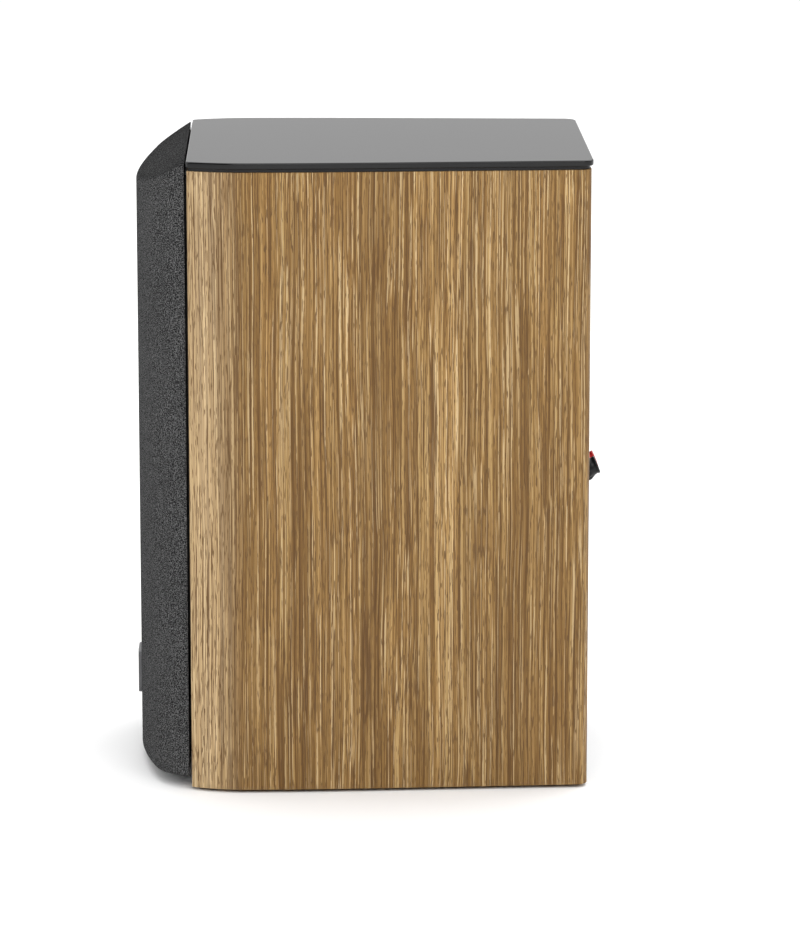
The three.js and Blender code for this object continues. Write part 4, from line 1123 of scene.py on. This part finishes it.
def grille_solid(name, inset, back):
    """The grille's outer solid, a distance inside its surface, closed at y = back."""
    rows = []
    for top in (False, True):
        outline = grille_outline(inset)
        if back > GRILLE_BACK:
            outline = [(outline[0][0], back), *outline, (outline[-1][0], back)]
        rows.append([
            (x, y, grille_top_at(y, inset) if top else GRILLE_BOTTOM + inset) for x, y in outline
        ])
    return loops_mesh(name, rows)


def box_mesh(name, x, y, z):
    """A box from its (low, high) spans."""
    outline = [(x[0], y[0]), (x[1], y[0]), (x[1], y[1]), (x[0], y[1])]
    return prism(name, outline, *z)


def window_mesh(name, bottom, top):
    """A block the shape of one opening in the front of the grille's moulding."""
    outline = rounded_rectangle(-66, bottom, 66, top, 12)
    return loops_mesh(name, [[(x, y, z) for x, z in outline] for y in (-60, -4)])


def add_grille_frame():
    """The moulding under the cloth: a shell with two openings, four bosses with pegs, and a badge tab."""
    shell = grille_solid("grille_moulding", FRAME_SKIN, GRILLE_BACK)
    hollow = grille_solid("hollow", FRAME_SKIN + FRAME_WALL, GRILLE_BACK + 6)
    tab = box_mesh("tab", (-17, 17), (-70, 0), (0, 70.3))
    lower = combine("lower", window_mesh("lower", 24, 204), [tab], "DIFFERENCE")
    shell = combine("grille_moulding", shell, [hollow, window_mesh("upper", 216, 352), lower], "DIFFERENCE")
    outer = grille_solid("outer", FRAME_SKIN + 1, GRILLE_BACK)
    boss_profile = [(0, -40), (9, -40), (9, GRILLE_BACK - 0.3), (8.6, GRILLE_BACK), (0, GRILLE_BACK)]
    pin_profile = [(0, -4), (4, -4), (4, 7.6), (3.4, 8.6), (2.4, 9.0), (0, 9.0)]
    pegs = []
    for x, z in PEG_PLACES:
        boss = lathe("boss", boss_profile, x, z, 48)
        pegs.append(combine("boss", boss, [outer.copy()], "INTERSECT"))
        pegs.append(lathe("pin", pin_profile, x, z, 48))
    mesh = combine("grille_moulding", shell, pegs, "UNION")
    add_piece("grille_moulding", mesh, MOULDED, "grille", ["grille_frame"], sharp=30)


def add_badge():
    """A plain plate that follows the bow, with rounded corners and edges and a shallow raised border."""
    half = BADGE_HALF_SIDE
    inner = GRILLE_BOW_RADIUS + 0.05
    outer = inner + BADGE_THICKNESS
    field = outer - 0.25
    face = rounded_rectangle(-half, -half, half, half, BADGE_CORNER)
    stages = [(0.0, inner), (0.0, outer - 0.5), (0.15, outer - 0.15), (0.5, outer), (1.7, outer)]
    stages += [(inset, field) for inset in (2.0, 5.0, 9.0, 12.9)]
    loops = []
    for inset, radius in stages:
        shrink = (half - inset) / half
        loop = []
        for x, z in face:
            y = BOW_CENTRE_Y - math.sqrt(radius * radius - x * x * shrink * shrink)
            loop.append((x * shrink, y, BADGE_Z + z * shrink))
        loops.append(loop)
    mesh = loops_mesh("plain_badge", loops)
    add_piece("plain_badge", mesh, BADGE_METAL, "grille", ["badge_plate"], sharp=40)


# ---- Studio ----


def add_camera():
    """The viewpoint: three metres from the speaker's right side and a little above its top, looking down."""
    distance_x, beside_y, height = 2.9552, -0.0447, 0.7927
    pitch, yaw = 0.2039, 0.0221
    camera = placed("camera", bpy.data.cameras.new("camera"))
    camera.data.lens = 176.94
    camera.data.sensor_width = 36.0
    camera.location = (distance_x, beside_y, height)
    aim = Vector((-math.cos(yaw) * math.cos(pitch), math.sin(yaw) * math.cos(pitch), -math.sin(pitch)))
    camera.rotation_euler = aim.to_track_quat("-Z", "Y").to_euler()
    camera.data.clip_end = 60.0
    bpy.context.scene.camera = camera


def add_floor():
    """A plain pale floor that reaches past every view's edge."""
    paint = Paint("pale_floor", Specular_IOR_Level=0.1)
    cloud = paint.noise(3.0, 3.0, 0.5)
    paint.colour(paint.ramp(cloud, [(0.2, 0.90), (0.8, 0.93)]))
    paint.roughness(cloud, 0.85, 0.95)
    mesh = bpy.data.meshes.new("floor")
    reach = 40.0
    corners = [(-reach, -reach, 0.0), (reach, -reach, 0.0), (reach, reach, 0.0), (-reach, reach, 0.0)]
    mesh.from_pydata(corners, [], [(0, 1, 2, 3)])
    mesh.materials.append(paint.material)
    floor = placed("floor", mesh)


def add_softbox(name, place, size, power):
    """A rectangular light of a size in metres and a power in watts, aimed at the middle of the speaker."""
    light = bpy.data.lights.new(name, "AREA")
    light.shape = "RECTANGLE"
    light.size, light.size_y = size
    light.energy = power
    lamp = placed(name, light)
    lamp.location = place
    aim = Vector((0.0, 0.0, 0.2)) - Vector(place)
    lamp.rotation_euler = aim.to_track_quat("-Z", "Y").to_euler()


def world_ramp(tree, value, span, brightness):
    """Brightness that runs from one value to another over a span of a direction's component."""
    made = tree.nodes.new("ShaderNodeMapRange")
    tree.links.new(value, made.inputs["Value"])
    made.inputs["From Min"].default_value, made.inputs["From Max"].default_value = span
    made.inputs["To Min"].default_value, made.inputs["To Max"].default_value = brightness
    return made.outputs["Result"]


def add_studio():
    """A white sweep behind, darker surroundings in front, and three soft lights."""
    world = bpy.data.worlds.new("studio")
    world.use_nodes = True
    tree = world.node_tree
    direction = tree.nodes.new("ShaderNodeTexCoord").outputs["Generated"]
    split = tree.nodes.new("ShaderNodeSeparateXYZ")
    tree.links.new(direction, split.inputs["Vector"])
    by_side = world_ramp(tree, split.outputs["X"], (-0.1, 0.6), (1.0, 0.16))
    by_height = world_ramp(tree, split.outputs["Z"], (0.15, 0.6), (0.70, 1.25))
    strength = tree.nodes.new("ShaderNodeMath")
    strength.operation = "MULTIPLY"
    tree.links.new(by_side, strength.inputs[0])
    tree.links.new(by_height, strength.inputs[1])
    tree.links.new(strength.outputs[0], tree.nodes["Background"].inputs["Strength"])
    tree.nodes["Background"].inputs["Color"].default_value = (1.0, 1.0, 1.0, 1.0)
    bpy.context.scene.world = world
    add_floor()
    add_softbox("overhead", (-1.2, 0.8, 3.6), (6.0, 6.0), 130.0)
    add_softbox("key", (0.9, -3.0, 1.3), (1.4, 1.4), 20.0)
    add_softbox("side_fill", (3.6, 0.8, 2.6), (4.0, 2.6), 125.0)
    bpy.context.scene.view_settings.view_transform = "Standard"


add_camera()
paint_kept_nodes()
add_side_panels()
add_glass_top()
add_feet()
add_fascia()
add_grille_sockets()
add_trim_ring()
add_surround()
add_spider()
add_cone()
add_tweeter()
add_screws()
add_bass_port()
refined("recessed_cup", "terminal_cup", MOULDED, "cabinet", 0.5)
add_binding_posts()
add_grille_frame()
add_cloth()
add_badge()
add_studio()
